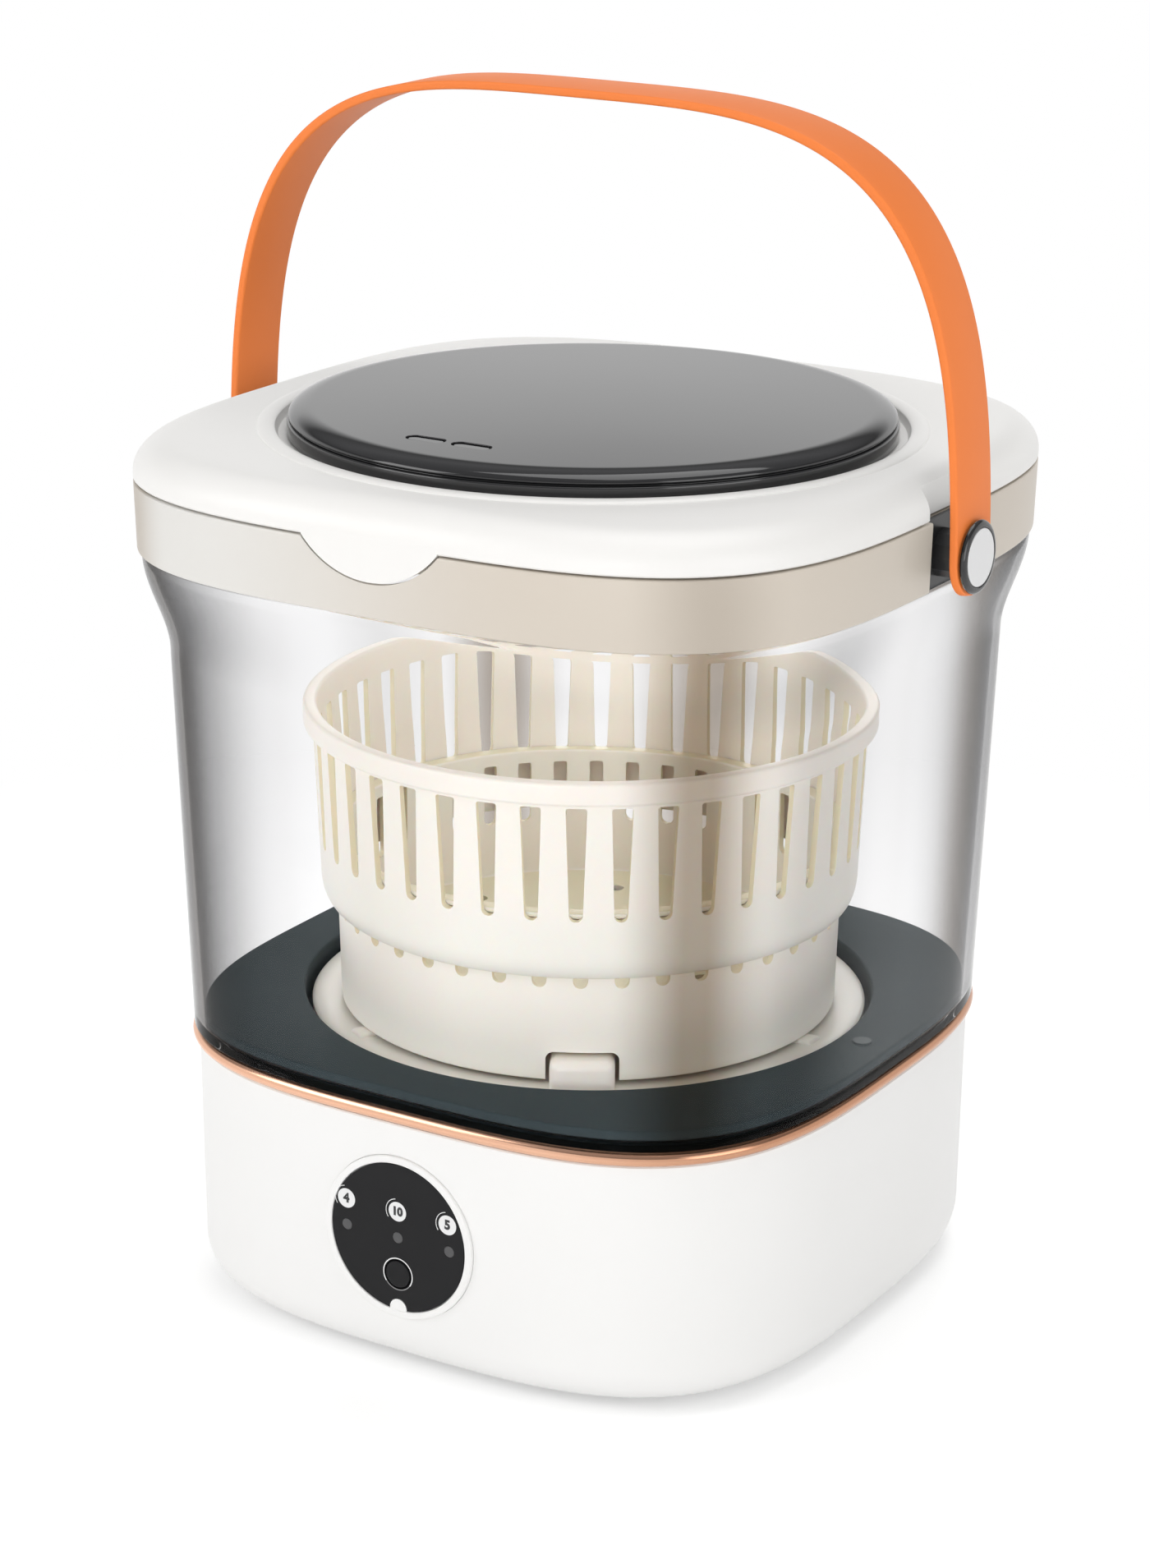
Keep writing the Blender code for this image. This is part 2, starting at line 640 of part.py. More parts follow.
# Rubber feet, each with a stem pushed into the cover
foot_profile = [
    (FOOT_RADIUS - FOOT_EDGE, 0),
    (FOOT_RADIUS, FOOT_EDGE),
    (FOOT_RADIUS, FOOT_HEIGHT),
    (FOOT_STEM_RADIUS, FOOT_HEIGHT),
    (FOOT_STEM_RADIUS, COVER_TOP_Z),
]
for number, (sx, sy) in enumerate(CORNERS, 1):
    place = Vector((sx * FOOT_OFFSET, sy * FOOT_OFFSET, 0))
    shift = Matrix.Translation(place)
    turned_object(f"foot_{number}", foot_profile, RUBBER, facets=SMALL_FACETS, matrix=shift, at=place)


def screw_profile(head_z, shank_length=SCREW_SHANK_LENGTH):
    """A pan-head screw that points up from this height."""
    under = head_z + SCREW_HEAD_HEIGHT
    return [
        (SCREW_HEAD_RADIUS, head_z),
        (SCREW_HEAD_RADIUS, under),
        (SCREW_SHANK_RADIUS, under),
        (SCREW_SHANK_RADIUS, under + shank_length - SCREW_TIP),
        (SCREW_SHANK_RADIUS - SCREW_TIP / 2, under + shank_length),
    ]


for number, (sx, sy) in enumerate(SIDES, 1):
    place = Vector((sx * COVER_POST_OFFSET, sy * COVER_POST_OFFSET, 0))
    shift = Matrix.Translation(place)
    profile = screw_profile(BASE_BOTTOM_Z)
    turned_object(f"cover_screw_{number}", profile, STEEL, facets=SCREW_FACETS, matrix=shift, at=place)

# Base housing: a moulded shell with a rounded lower edge, open above and below
edge_run = BASE_EDGE_RUN
edge_centre = (BASE_SOLE_HALF, BASE_BOTTOM_Z + BASE_EDGE_RISE)
outer = arc(edge_centre, edge_run, BASE_EDGE_RISE, -90, 0, BASE_EDGE_STEPS)
outer = [(half + base_half(z) - BASE_LOW_HALF, z) for half, z in outer]
outer.append((base_half(BASE_TOP_Z), BASE_TOP_Z))
floor_z = COVER_TOP_Z + SEAT_GAP
inner_run = edge_run - (BASE_WALL - COVER_THICK)
inner_centre = (BASE_SOLE_HALF - BASE_WALL, edge_centre[1])
inner = arc(inner_centre, inner_run, edge_centre[1] - floor_z, 0, -90, BASE_EDGE_STEPS)
inner = [(BASE_TOP_HALF - BASE_WALL, BASE_TOP_Z)] + inner
inner += [(BASE_OPENING_HALF, floor_z), (BASE_OPENING_HALF, BASE_BOTTOM_Z)]
base_housing = turned_object(
    "base_housing", outer + inner, WHITE, closed=True, exponent=BASE_PLAN, facets=PLAN_FACETS
)
supports = bmesh.new()
post_top = floor_z + COVER_POST_HEIGHT
for number, (sx, sy) in enumerate(SIDES):
    turn = spun(90 * number)
    post = [(COVER_POST_RADIUS, floor_z), (COVER_POST_RADIUS, post_top)]
    post_place = turn @ Matrix.Translation((COVER_POST_OFFSET, 0, 0))
    add_turned(supports, post, facets=SMALL_FACETS, matrix=post_place)
rib = bmesh.new()
for number in range(len(SIDES)):
    turn = spun(90 * number)
    rib_end = BASE_LOW_HALF - BASE_WALL / 2
    rib_foot = BASE_BOTTOM_Z + BASE_EDGE_RISE / 2
    low = (COVER_POST_OFFSET, -RIB_THICK / 2, rib_foot)
    add_box(rib, low, (rib_end, RIB_THICK / 2, post_top - SEAT_GAP), turn)
combine(base_housing, "UNION", rib, "cover_post_ribs")
combine(base_housing, "UNION", supports, "cover_posts")
tab_top = FLOOR_BOTTOM_Z - FLOOR_BOSS_LENGTH - SEAT_GAP
tab_reach = FLOOR_BOSS_OFFSET * math.sqrt(2)
corner_reach = (BASE_TOP_HALF - BASE_WALL / 2) * 2 ** (0.5 - 1 / BASE_PLAN)
tabs = bmesh.new()
for number in range(len(CORNERS)):
    low = (tab_reach - FLOOR_TAB_WIDTH / 2, -FLOOR_TAB_WIDTH / 2, tab_top - FLOOR_TAB_THICK)
    add_box(tabs, low, (corner_reach, FLOOR_TAB_WIDTH / 2, tab_top), spun(45 + 90 * number))
combine(base_housing, "UNION", tabs, "floor_tabs")
holes = bmesh.new()
for number in range(len(SIDES)):
    radius = SCREW_SHANK_RADIUS + SEAT_GAP
    profile = [(radius, floor_z - OVERRUN), (radius, floor_z + SCREW_SHANK_LENGTH)]
    place = spun(90 * number) @ Matrix.Translation((COVER_POST_OFFSET, 0, 0))
    add_turned(holes, profile, facets=SCREW_FACETS, matrix=place)
    profile = [(radius, tab_top - FLOOR_TAB_THICK - OVERRUN), (radius, tab_top + OVERRUN)]
    place = spun(45 + 90 * number) @ Matrix.Translation((tab_reach, 0, 0))
    add_turned(holes, profile, facets=SCREW_FACETS, matrix=place)
panel_centre = Matrix.Translation((0, PANEL_FACE_Y, PANEL_Z)) @ FACING_FRONT
panel_seat = BEZEL_DEPTH + SEAT_GAP
add_turned(
    holes,
    [
        (BEZEL_RADIUS + SEAT_GAP, OVERRUN),
        (BEZEL_RADIUS + SEAT_GAP, -panel_seat),
        (BEZEL_TUBE_RADIUS + SEAT_GAP, -panel_seat),
        (BEZEL_TUBE_RADIUS + SEAT_GAP, -BEZEL_DEPTH - BEZEL_TUBE_LENGTH),
    ],
    facets=ROUND_FACETS,
    matrix=panel_centre,
)
back_y = base_half(JACK_Z) - JACK_INSET
jack_face = Matrix.Translation((JACK_X, back_y, JACK_Z)) @ FACING_BACK
jack_hole = JACK_RADIUS + SEAT_GAP
jack_seat = jack_hole + JACK_FLANGE
jack_bore = [(jack_hole, -JACK_LENGTH), (jack_hole, 0), (jack_seat, 0), (jack_seat, 2 * OVERRUN)]
add_turned(holes, jack_bore, facets=SMALL_FACETS, matrix=jack_face)
drain_z = WELL_UNDER_Z - DRAIN_DROP - DRAIN_BEND
drain_face = Matrix.Translation((DRAIN_X, base_half(drain_z), drain_z)) @ FACING_BACK
drain_hole = DRAIN_RADIUS + SEAT_GAP
add_turned(holes, [(drain_hole, -JACK_LENGTH), (drain_hole, OVERRUN)], facets=SMALL_FACETS, matrix=drain_face)
combine(base_housing, "DIFFERENCE", holes, "base_holes")

# Copper-coloured bead that the tub stands on
bead_radius = TRIM_HEIGHT / 2
bead_centre = (TRIM_HALF - bead_radius, TRIM_BOTTOM_Z + bead_radius)
bead = arc(bead_centre, bead_radius, bead_radius, -90, 90, TRIM_STEPS)
inside = TRIM_HALF - TRIM_WIDTH
turned_object(
    "copper_trim_ring",
    bead + [(inside, TRIM_TOP_Z), (inside, TRIM_BOTTOM_Z)],
    COPPER,
    closed=True,
    exponent=TUB_PLAN,
    facets=PLAN_FACETS,
)

# Clear tub: foot flange turned in under the floor, tapered wall, flare, and a neck
# inside the band
flare = [FLARE_BOTTOM_Z + TUB_FLARE * step / TUB_FLARE_STEPS for step in range(TUB_FLARE_STEPS + 1)]
shoulder_under = FLARE_TOP_Z - TUB_WALL
tub_profile = [(TUB_FLANGE_HALF, TUB_BOTTOM_Z), (TUB_FOOT_HALF, TUB_BOTTOM_Z)]
tub_profile += [(tub_half(z), z) for z in flare]
tub_profile += [(TUB_NECK_HALF, FLARE_TOP_Z), (TUB_NECK_HALF, TUB_TOP_Z)]
tub_profile += [(TUB_NECK_HALF - TUB_WALL, TUB_TOP_Z), (TUB_NECK_HALF - TUB_WALL, FLARE_TOP_Z)]
tub_profile += [(tub_half(z) - TUB_WALL, z) for z in reversed(flare) if z < shoulder_under]
tub_profile += [(TUB_FOOT_HALF - TUB_WALL, TUB_FLANGE_TOP_Z), (TUB_FLANGE_HALF, TUB_FLANGE_TOP_Z)]
clear_tub = turned_object(
    "clear_tub", tub_profile, CLEAR, closed=True, exponent=TUB_PLAN, facets=PLAN_FACETS
)
pocket_floor_x = MOUTH_HALF + POCKET_WALL
block_half_width = POCKET_WIDTH / 2 + POCKET_CHEEK
notches = bmesh.new()
for side in (-1, 1):
    ends = sorted((side * (MOUTH_HALF - SLIDE_GAP), side * BAND_HALF))
    reach = block_half_width + SEAT_GAP
    add_box(notches, (ends[0], -reach, FLARE_TOP_Z), (ends[1], reach, TUB_TOP_Z + OVERRUN))
combine(clear_tub, "DIFFERENCE", notches, "tub_pocket_notches")

# Slate floor: plate on the tub's flange, round well, and the hub that holds the shaft
seal_outer = FLOOR_HALF - SEAL_INSET
seal_inner = seal_outer - SEAL_WIDTH
groove_top = FLOOR_BOTTOM_Z + SEAL_HEIGHT + SEAT_GAP
web_bottom = WELL_Z - HUB_WEB
floor_profile = [
    (FLOOR_HALF, FLOOR_BOTTOM_Z, TUB_PLAN),
    (FLOOR_HALF, FLOOR_TOP_Z - FLOOR_EDGE, TUB_PLAN),
    (FLOOR_HALF - FLOOR_EDGE, FLOOR_TOP_Z, TUB_PLAN),
    (WELL_RADIUS + WELL_LIP, FLOOR_TOP_Z, ROUND),
    (WELL_RADIUS, FLOOR_TOP_Z - WELL_LIP, ROUND),
    (WELL_RADIUS, WELL_Z + WELL_LIP, ROUND),
    (WELL_RADIUS - WELL_LIP, WELL_Z, ROUND),
    (HUB_COLLAR_RADIUS, WELL_Z, ROUND),
    (HUB_COLLAR_RADIUS, WELL_Z + HUB_COLLAR_HEIGHT, ROUND),
    (SHAFT_BORE, WELL_Z + HUB_COLLAR_HEIGHT, ROUND),
    (SHAFT_BORE, web_bottom, ROUND),
    (BEARING_BORE, web_bottom, ROUND),
    (BEARING_BORE, HUB_BOTTOM_Z, ROUND),
    (HUB_RADIUS, HUB_BOTTOM_Z, ROUND),
    (HUB_RADIUS, WELL_UNDER_Z, ROUND),
    (WELL_RADIUS + WELL_WALL, WELL_UNDER_Z, ROUND),
    (WELL_RADIUS + WELL_WALL, FLOOR_BOTTOM_Z, ROUND),
    (seal_inner - SEAT_GAP, FLOOR_BOTTOM_Z, TUB_PLAN),
    (seal_inner - SEAT_GAP, groove_top, TUB_PLAN),
    (seal_outer + SEAT_GAP, groove_top, TUB_PLAN),
    (seal_outer + SEAT_GAP, FLOOR_BOTTOM_Z, TUB_PLAN),
]
tub_floor = turned_object("tub_floor", floor_profile, SLATE, closed=True, facets=PLAN_FACETS)
bosses = bmesh.new()
boss_bottom = FLOOR_BOTTOM_Z - FLOOR_BOSS_LENGTH
mount_top = HUB_BOTTOM_Z - SEAT_GAP
for number, (sx, sy) in enumerate(CORNERS):
    shift = Matrix.Translation((sx * FLOOR_BOSS_OFFSET, sy * FLOOR_BOSS_OFFSET, 0))
    boss = [(FLOOR_BOSS_RADIUS, boss_bottom), (FLOOR_BOSS_RADIUS, groove_top)]
    add_turned(bosses, boss, facets=SMALL_FACETS, matrix=shift)
    shift = Matrix.Translation((sx * POST_OFFSET, sy * POST_OFFSET, 0))
    post = [(POST_RADIUS, mount_top + SEAT_GAP), (POST_RADIUS, WELL_UNDER_Z + WELL_WALL / 2)]
    add_turned(bosses, post, facets=SMALL_FACETS, matrix=shift)
marker = Matrix.Translation((MARKER_OFFSET, 0, 0))
marker_top = FLOOR_TOP_Z + MARKER_HEIGHT
marker_disc = [(MARKER_RADIUS, groove_top), (MARKER_RADIUS, marker_top)]
add_turned(bosses, marker_disc, facets=SMALL_FACETS, matrix=marker)
drain_shift = Matrix.Translation((DRAIN_X, DRAIN_WELL_Y, 0))
socket_radius = DRAIN_RADIUS + SEAT_GAP + DRAIN_SOCKET_WALL
socket_bottom = WELL_UNDER_Z - DRAIN_SOCKET_HEIGHT
socket = [(socket_radius, socket_bottom), (socket_radius, WELL_UNDER_Z + WELL_WALL / 2)]
add_turned(bosses, socket, facets=SMALL_FACETS, matrix=drain_shift)
combine(tub_floor, "UNION", bosses, "floor_bosses")
bores = bmesh.new()
screw_bore = SCREW_SHANK_RADIUS + SEAT_GAP
for sx, sy in CORNERS:
    shift = Matrix.Translation((sx * FLOOR_BOSS_OFFSET, sy * FLOOR_BOSS_OFFSET, 0))
    bore = [(screw_bore, boss_bottom - OVERRUN), (screw_bore, boss_bottom + SCREW_SHANK_LENGTH)]
    add_turned(bores, bore, facets=SCREW_FACETS, matrix=shift)
    shift = Matrix.Translation((sx * POST_OFFSET, sy * POST_OFFSET, 0))
    bore = [(screw_bore, mount_top - OVERRUN), (screw_bore, mount_top + SCREW_SHANK_LENGTH)]
    add_turned(bores, bore, facets=SCREW_FACETS, matrix=shift)
socket_bore = [(DRAIN_BORE, WELL_Z + OVERRUN), (DRAIN_BORE, WELL_UNDER_Z), (drain_hole, WELL_UNDER_Z)]
socket_bore = list(reversed(socket_bore + [(drain_hole, socket_bottom - OVERRUN)]))
add_turned(bores, socket_bore, facets=SMALL_FACETS, matrix=drain_shift)
combine(tub_floor, "DIFFERENCE", bores, "floor_bores")
turned_object(
    "floor_seal",
    [
        (seal_outer, TUB_FLANGE_TOP_Z + SEAT_GAP),
        (seal_outer, groove_top - SEAT_GAP),
        (seal_inner, groove_top - SEAT_GAP),
        (seal_inner, TUB_FLANGE_TOP_Z + SEAT_GAP),
    ],
    SILICONE,
    closed=True,
    exponent=TUB_PLAN,
    facets=PLAN_FACETS,
)
head_z = tab_top - FLOOR_TAB_THICK - SEAT_GAP - SCREW_HEAD_HEIGHT
for number, (sx, sy) in enumerate(CORNERS, 1):
    place = Vector((sx * FLOOR_BOSS_OFFSET, sy * FLOOR_BOSS_OFFSET, 0))
    shift = Matrix.Translation(place)
    profile = screw_profile(head_z)
    turned_object(f"floor_screw_{number}", profile, STEEL, facets=SCREW_FACETS, matrix=shift, at=place)


def sleeve(inner, outer, low, high):
    """Section of a plain ring, as points to turn."""
    return [(inner, high), (inner, low), (outer, low), (outer, high)]


# Band round the mouth, with a pocket at each side and a notch for the lid's tab
band_profile = [
    (BAND_INNER_HALF, BAND_BOTTOM_Z),
    (BAND_LOW_HALF - BAND_EDGE, BAND_BOTTOM_Z),
    (BAND_LOW_HALF, BAND_BOTTOM_Z + BAND_EDGE),
    (BAND_HALF, BAND_TOP_Z - BAND_EDGE),
    (BAND_HALF - BAND_EDGE, BAND_TOP_Z),
    (MOUTH_HALF, BAND_TOP_Z),
    (MOUTH_HALF, BAND_TOP_Z - BAND_FLANGE),
    (BAND_INNER_HALF, BAND_TOP_Z - BAND_FLANGE),
]
rim_band = turned_object(
    "rim_band", band_profile, CHAMPAGNE, closed=True, exponent=RIM_PLAN, facets=PLAN_FACETS
)
blocks = bmesh.new()
pockets = bmesh.new()
for side in (-1, 1):
    ends = sorted((side * MOUTH_HALF, side * (BAND_INNER_HALF + BAND_WALL / 2)))
    block_top = BAND_TOP_Z - BAND_FLANGE / 2
    low = (ends[0], -block_half_width, BAND_BOTTOM_Z)
    add_box(blocks, low, (ends[1], block_half_width, block_top))
    ends = sorted((side * pocket_floor_x, side * (BAND_HALF + OVERRUN)))
    low = (ends[0], -POCKET_WIDTH / 2, BAND_BOTTOM_Z - OVERRUN)
    add_box(pockets, low, (ends[1], POCKET_WIDTH / 2, BAND_TOP_Z + OVERRUN))
combine(rim_band, "UNION", blocks, "pocket_blocks")


def tab_outline(grow, top):
    """The half-round tab seen from the front, as an arc closed along its top."""
    half = TAB_WIDTH / 2
    radius = (half**2 + TAB_DROP**2) / (2 * TAB_DROP)
    centre_z = LID_BOTTOM_Z - TAB_DROP + radius
    spread = math.degrees(math.asin(half / radius))
    curve = arc((0, centre_z), radius + grow, radius + grow, -90 - spread, -90 + spread, TAB_STEPS)
    return curve + [(curve[-1][0], top), (curve[0][0], top)]


# The prism's own Z axis points to the front here
def add_tab_prism(bm, grow, top, back, front):
    add_prism(bm, tab_outline(grow, top), back, front, FACING_FRONT)


combine(rim_band, "DIFFERENCE", pockets, "band_pockets")
tab_back = TUB_NECK_HALF + SEAT_GAP
notch_ring = bmesh.new()
low = LID_BOTTOM_Z - TAB_DROP - 2 * OVERRUN
ring = sleeve(tab_back - SEAT_GAP, BAND_HALF + OVERRUN, low, BAND_TOP_Z + 2 * OVERRUN)
add_turned(notch_ring, ring, closed=True, exponent=RIM_PLAN, facets=PLAN_FACETS)
notch_shape = combine(rim_band, "DIFFERENCE", notch_ring, "band_tab_notch")
notch_prism = bmesh.new()
add_tab_prism(notch_prism, SEAT_GAP, BAND_TOP_Z + OVERRUN, MOUTH_HALF, BAND_HALF + 2 * OVERRUN)
combine(notch_shape, "INTERSECT", notch_prism, "band_tab_notch_outline")

# Lid: crowned rim, ridge round the well, plate under the cover, skirt in the mouth
crown_centre = (BAND_HALF - LID_CROWN_RUN, LID_TOP_Z - LID_CROWN_RISE)
crown = arc(crown_centre, LID_CROWN_RUN, LID_CROWN_RISE, 0, 90, LID_CROWN_STEPS)
ridge_half = LID_RIDGE_WIDTH / 2
skirt_bottom = LID_BOTTOM_Z - LID_SKIRT_DEPTH
skirt_lip = skirt_bottom + LID_SKIRT_LIP
skirt_inner = LID_SKIRT_HALF - LID_SKIRT_WALL
gasket_half = MOUTH_HALF - SLIDE_GAP
plate_bottom = LID_WELL_Z - LID_PLATE_THICK
lid_profile = [
    (LINER_RIB_RADIUS - LINER_RIB_WALL, plate_bottom, ROUND),
    (skirt_inner, plate_bottom, RIM_PLAN),
    (skirt_inner, skirt_bottom, RIM_PLAN),
    (gasket_half, skirt_bottom, RIM_PLAN),
    (gasket_half, skirt_lip, RIM_PLAN),
    (LID_SKIRT_HALF, skirt_lip, RIM_PLAN),
    (LID_SKIRT_HALF, LID_BOTTOM_Z, RIM_PLAN),
    (BAND_HALF, LID_BOTTOM_Z, RIM_PLAN),
]
lid_profile += [(half, z, RIM_PLAN) for half, z in crown]
lid_profile += [
    (LID_RIDGE_RADIUS + ridge_half, LID_TOP_Z, ROUND),
    (LID_RIDGE_RADIUS + ridge_half / 2, LID_TOP_Z + LID_RIDGE_HEIGHT, ROUND),
    (LID_RIDGE_RADIUS - ridge_half / 2, LID_TOP_Z + LID_RIDGE_HEIGHT, ROUND),
    (LID_RIDGE_RADIUS - ridge_half, LID_TOP_Z, ROUND),
    (LID_WELL_RADIUS, LID_WELL_Z, ROUND),
    (DOME_RADIUS - BASKET_WALL, LID_WELL_Z, ROUND),
]
lid_frame = turned_object("lid_frame", lid_profile, WHITE, facets=PLAN_FACETS)
lid_notches = bmesh.new()
for side in (-1, 1):
    ends = sorted((side * (BAND_HALF - LID_NOTCH_DEPTH), side * (BAND_HALF + LID_CROWN_RUN)))
    reach = LID_NOTCH_WIDTH / 2
    low = (ends[0], -reach, LID_BOTTOM_Z - LID_CROWN_RUN)
    high = (ends[1], reach, LID_TOP_Z + LID_CROWN_RUN)
    add_soft_box(lid_notches, low, high, LID_NOTCH_EDGE)
combine(lid_frame, "DIFFERENCE", lid_notches, "lid_notches")
tab_ring = bmesh.new()
ring_low = LID_BOTTOM_Z - TAB_DROP - OVERRUN
ring_high = LID_BOTTOM_Z + LID_CROWN_RISE / 4
ring = sleeve(tab_back, BAND_HALF, ring_low, ring_high)
add_turned(tab_ring, ring, closed=True, exponent=RIM_PLAN, facets=PLAN_FACETS)
tab_shape = combine(lid_frame, "UNION", tab_ring, "lid_tab")
tab_prism = bmesh.new()
add_tab_prism(tab_prism, 0, ring_high + OVERRUN, MOUTH_HALF, BAND_HALF + OVERRUN)
combine(tab_shape, "INTERSECT", tab_prism, "lid_tab_outline")
turned_object(
    "lid_gasket",
    [
        (gasket_half, skirt_lip + SEAT_GAP),
        (gasket_half, BAND_TOP_Z - BAND_FLANGE - SEAT_GAP),
        (LID_SKIRT_HALF + SEAT_GAP, BAND_TOP_Z - BAND_FLANGE - SEAT_GAP),
        (LID_SKIRT_HALF + SEAT_GAP, skirt_lip + SEAT_GAP),
    ],
    SILICONE,
    closed=True,
    exponent=RIM_PLAN,
    facets=PLAN_FACETS,
)
liner_top = skirt_lip + LINER_THICK
rib_top = plate_bottom - SEAT_GAP
turned_object(
    "lid_liner",
    [
        (skirt_inner - SEAT_GAP, skirt_lip, RIM_PLAN),
        (skirt_inner - SEAT_GAP, liner_top, RIM_PLAN),
        (LINER_RIB_RADIUS, liner_top, ROUND),
        (LINER_RIB_RADIUS, rib_top, ROUND),
        (LINER_RIB_RADIUS - LINER_RIB_WALL, rib_top, ROUND),
        (LINER_RIB_RADIUS - LINER_RIB_WALL, liner_top, ROUND),
    ],
    WHITE,
    facets=PLAN_FACETS,
)

# Round cover: lower lip, groove, rounded shoulder and a slight crown
dome_z = LID_WELL_Z + SEAT_GAP
lip_top = dome_z + DOME_LIP_HEIGHT
groove_half = DOME_RADIUS - DOME_GROOVE
shoulder_centre = (groove_half - DOME_SHOULDER_RUN, lip_top + DOME_GROOVE)
shoulder_run = DOME_SHOULDER_RUN + DOME_GROOVE / 2
shoulder = arc(shoulder_centre, shoulder_run, DOME_SHOULDER_RISE, 0, 90, BASE_EDGE_STEPS)
dome_top = shoulder[-1][1] + DOME_CROWN
dome_profile = [
    (DOME_RADIUS, dome_z),
    (DOME_RADIUS, lip_top - DOME_LIP_EDGE),
    (DOME_RADIUS - DOME_LIP_EDGE, lip_top),
    (groove_half - DOME_GROOVE, lip_top),
]
dome_profile += shoulder + [(shoulder_centre[0] / 2, dome_top - DOME_CROWN / 4)]
lid_dome = turned_object("lid_dome", dome_profile, GLOSS)
pills = bmesh.new()
pill_floor = shoulder[-1][1] - PILL_DEPTH
for side in (-1, 1):
    centre = Vector((PILL_CENTRE_X + side * PILL_PITCH / 2, PILL_FROM_FRONT - DOME_RADIUS, 0))
    straight = (PILL_LENGTH - PILL_WIDTH) / 2
    ends = arc((straight, 0), PILL_WIDTH / 2, PILL_WIDTH / 2, -90, 90, TRIM_STEPS)
    ends += arc((-straight, 0), PILL_WIDTH / 2, PILL_WIDTH / 2, 90, 270, TRIM_STEPS)
    add_prism(pills, ends, pill_floor, dome_top + OVERRUN, Matrix.Translation(centre))
combine(lid_dome, "DIFFERENCE", pills, "dome_pills")

# Handle strap: a band of constant width along a superellipse arch, round at both ends
handle_axis = bpy.data.objects.new("handle_axis", None)
handle_axis.location = (0, 0, PIVOT_Z)
bpy.context.scene.collection.objects.link(handle_axis)
arch_centre_z = PIVOT_Z - STRAP_ARCH_BELOW_PIVOT


def arch_point(inset, angle):
    """A point of the arch in the XZ plane, this far inside its outer face."""
    across = abs(math.cos(angle)) ** (2 / STRAP_ARCH) * math.copysign(1, math.cos(angle))
    up = math.sin(angle) ** (2 / STRAP_ARCH)
    x = (STRAP_HALF_SPAN - inset) * across
    return Vector((x, 0, arch_centre_z + (STRAP_ARCH_RISE - inset) * up))


def arch_angle(z):
    share = (z - arch_centre_z) / STRAP_ARCH_RISE
    return math.asin(share ** (STRAP_ARCH / 2))


def strap_section(angle, half_width):
    """Eight corners across the strap: two faces joined by chamfered edges."""
    edge = min(STRAP_EDGE, half_width / 2)
    corners = [(0, -half_width + edge), (0, half_width - edge), (edge, half_width)]
    corners += [(STRAP_THICK - edge, half_width), (STRAP_THICK, half_width - edge)]
    corners += [(STRAP_THICK, -half_width + edge), (STRAP_THICK - edge, -half_width), (edge, -half_width)]
    return [arch_point(inset, angle) + Vector((0, y, 0)) for inset, y in corners]


end_rows = []
for step in range(STRAP_END_STEPS):
    turn = math.radians(90) * (1 - (step + 0.25) / STRAP_END_STEPS)
    low_z = PIVOT_Z - STRAP_END_RADIUS * math.sin(turn)
    end_rows.append((arch_angle(low_z), STRAP_WIDTH / 2 * math.cos(turn)))
first = arch_angle(PIVOT_Z)
rows = list(end_rows)
for step in range(STRAP_ARCH_STEPS + 1):
    share = step / STRAP_ARCH_STEPS
    rows.append((first + (math.pi - 2 * first) * share, STRAP_WIDTH / 2))
rows += [(math.pi - angle, half_width) for angle, half_width in reversed(end_rows)]
strap = bmesh.new()
add_rings(strap, [strap_section(angle, half_width) for angle, half_width in rows], closed=False)
handle_strap = make_object("handle_strap", strap, ORANGE, (0, 0, PIVOT_Z), handle_axis)
pin_hole = bmesh.new()
ALONG_X = Matrix.Translation((0, 0, PIVOT_Z)) @ Matrix.Rotation(math.radians(90), 4, "Y")
reach = STRAP_HALF_SPAN + OVERRUN
hole = [(PIN_RADIUS + SEAT_GAP, -reach), (PIN_RADIUS + SEAT_GAP, reach)]
add_turned(pin_hole, hole, facets=SMALL_FACETS, matrix=ALONG_X)
combine(handle_strap, "DIFFERENCE", pin_hole, "strap_holes")

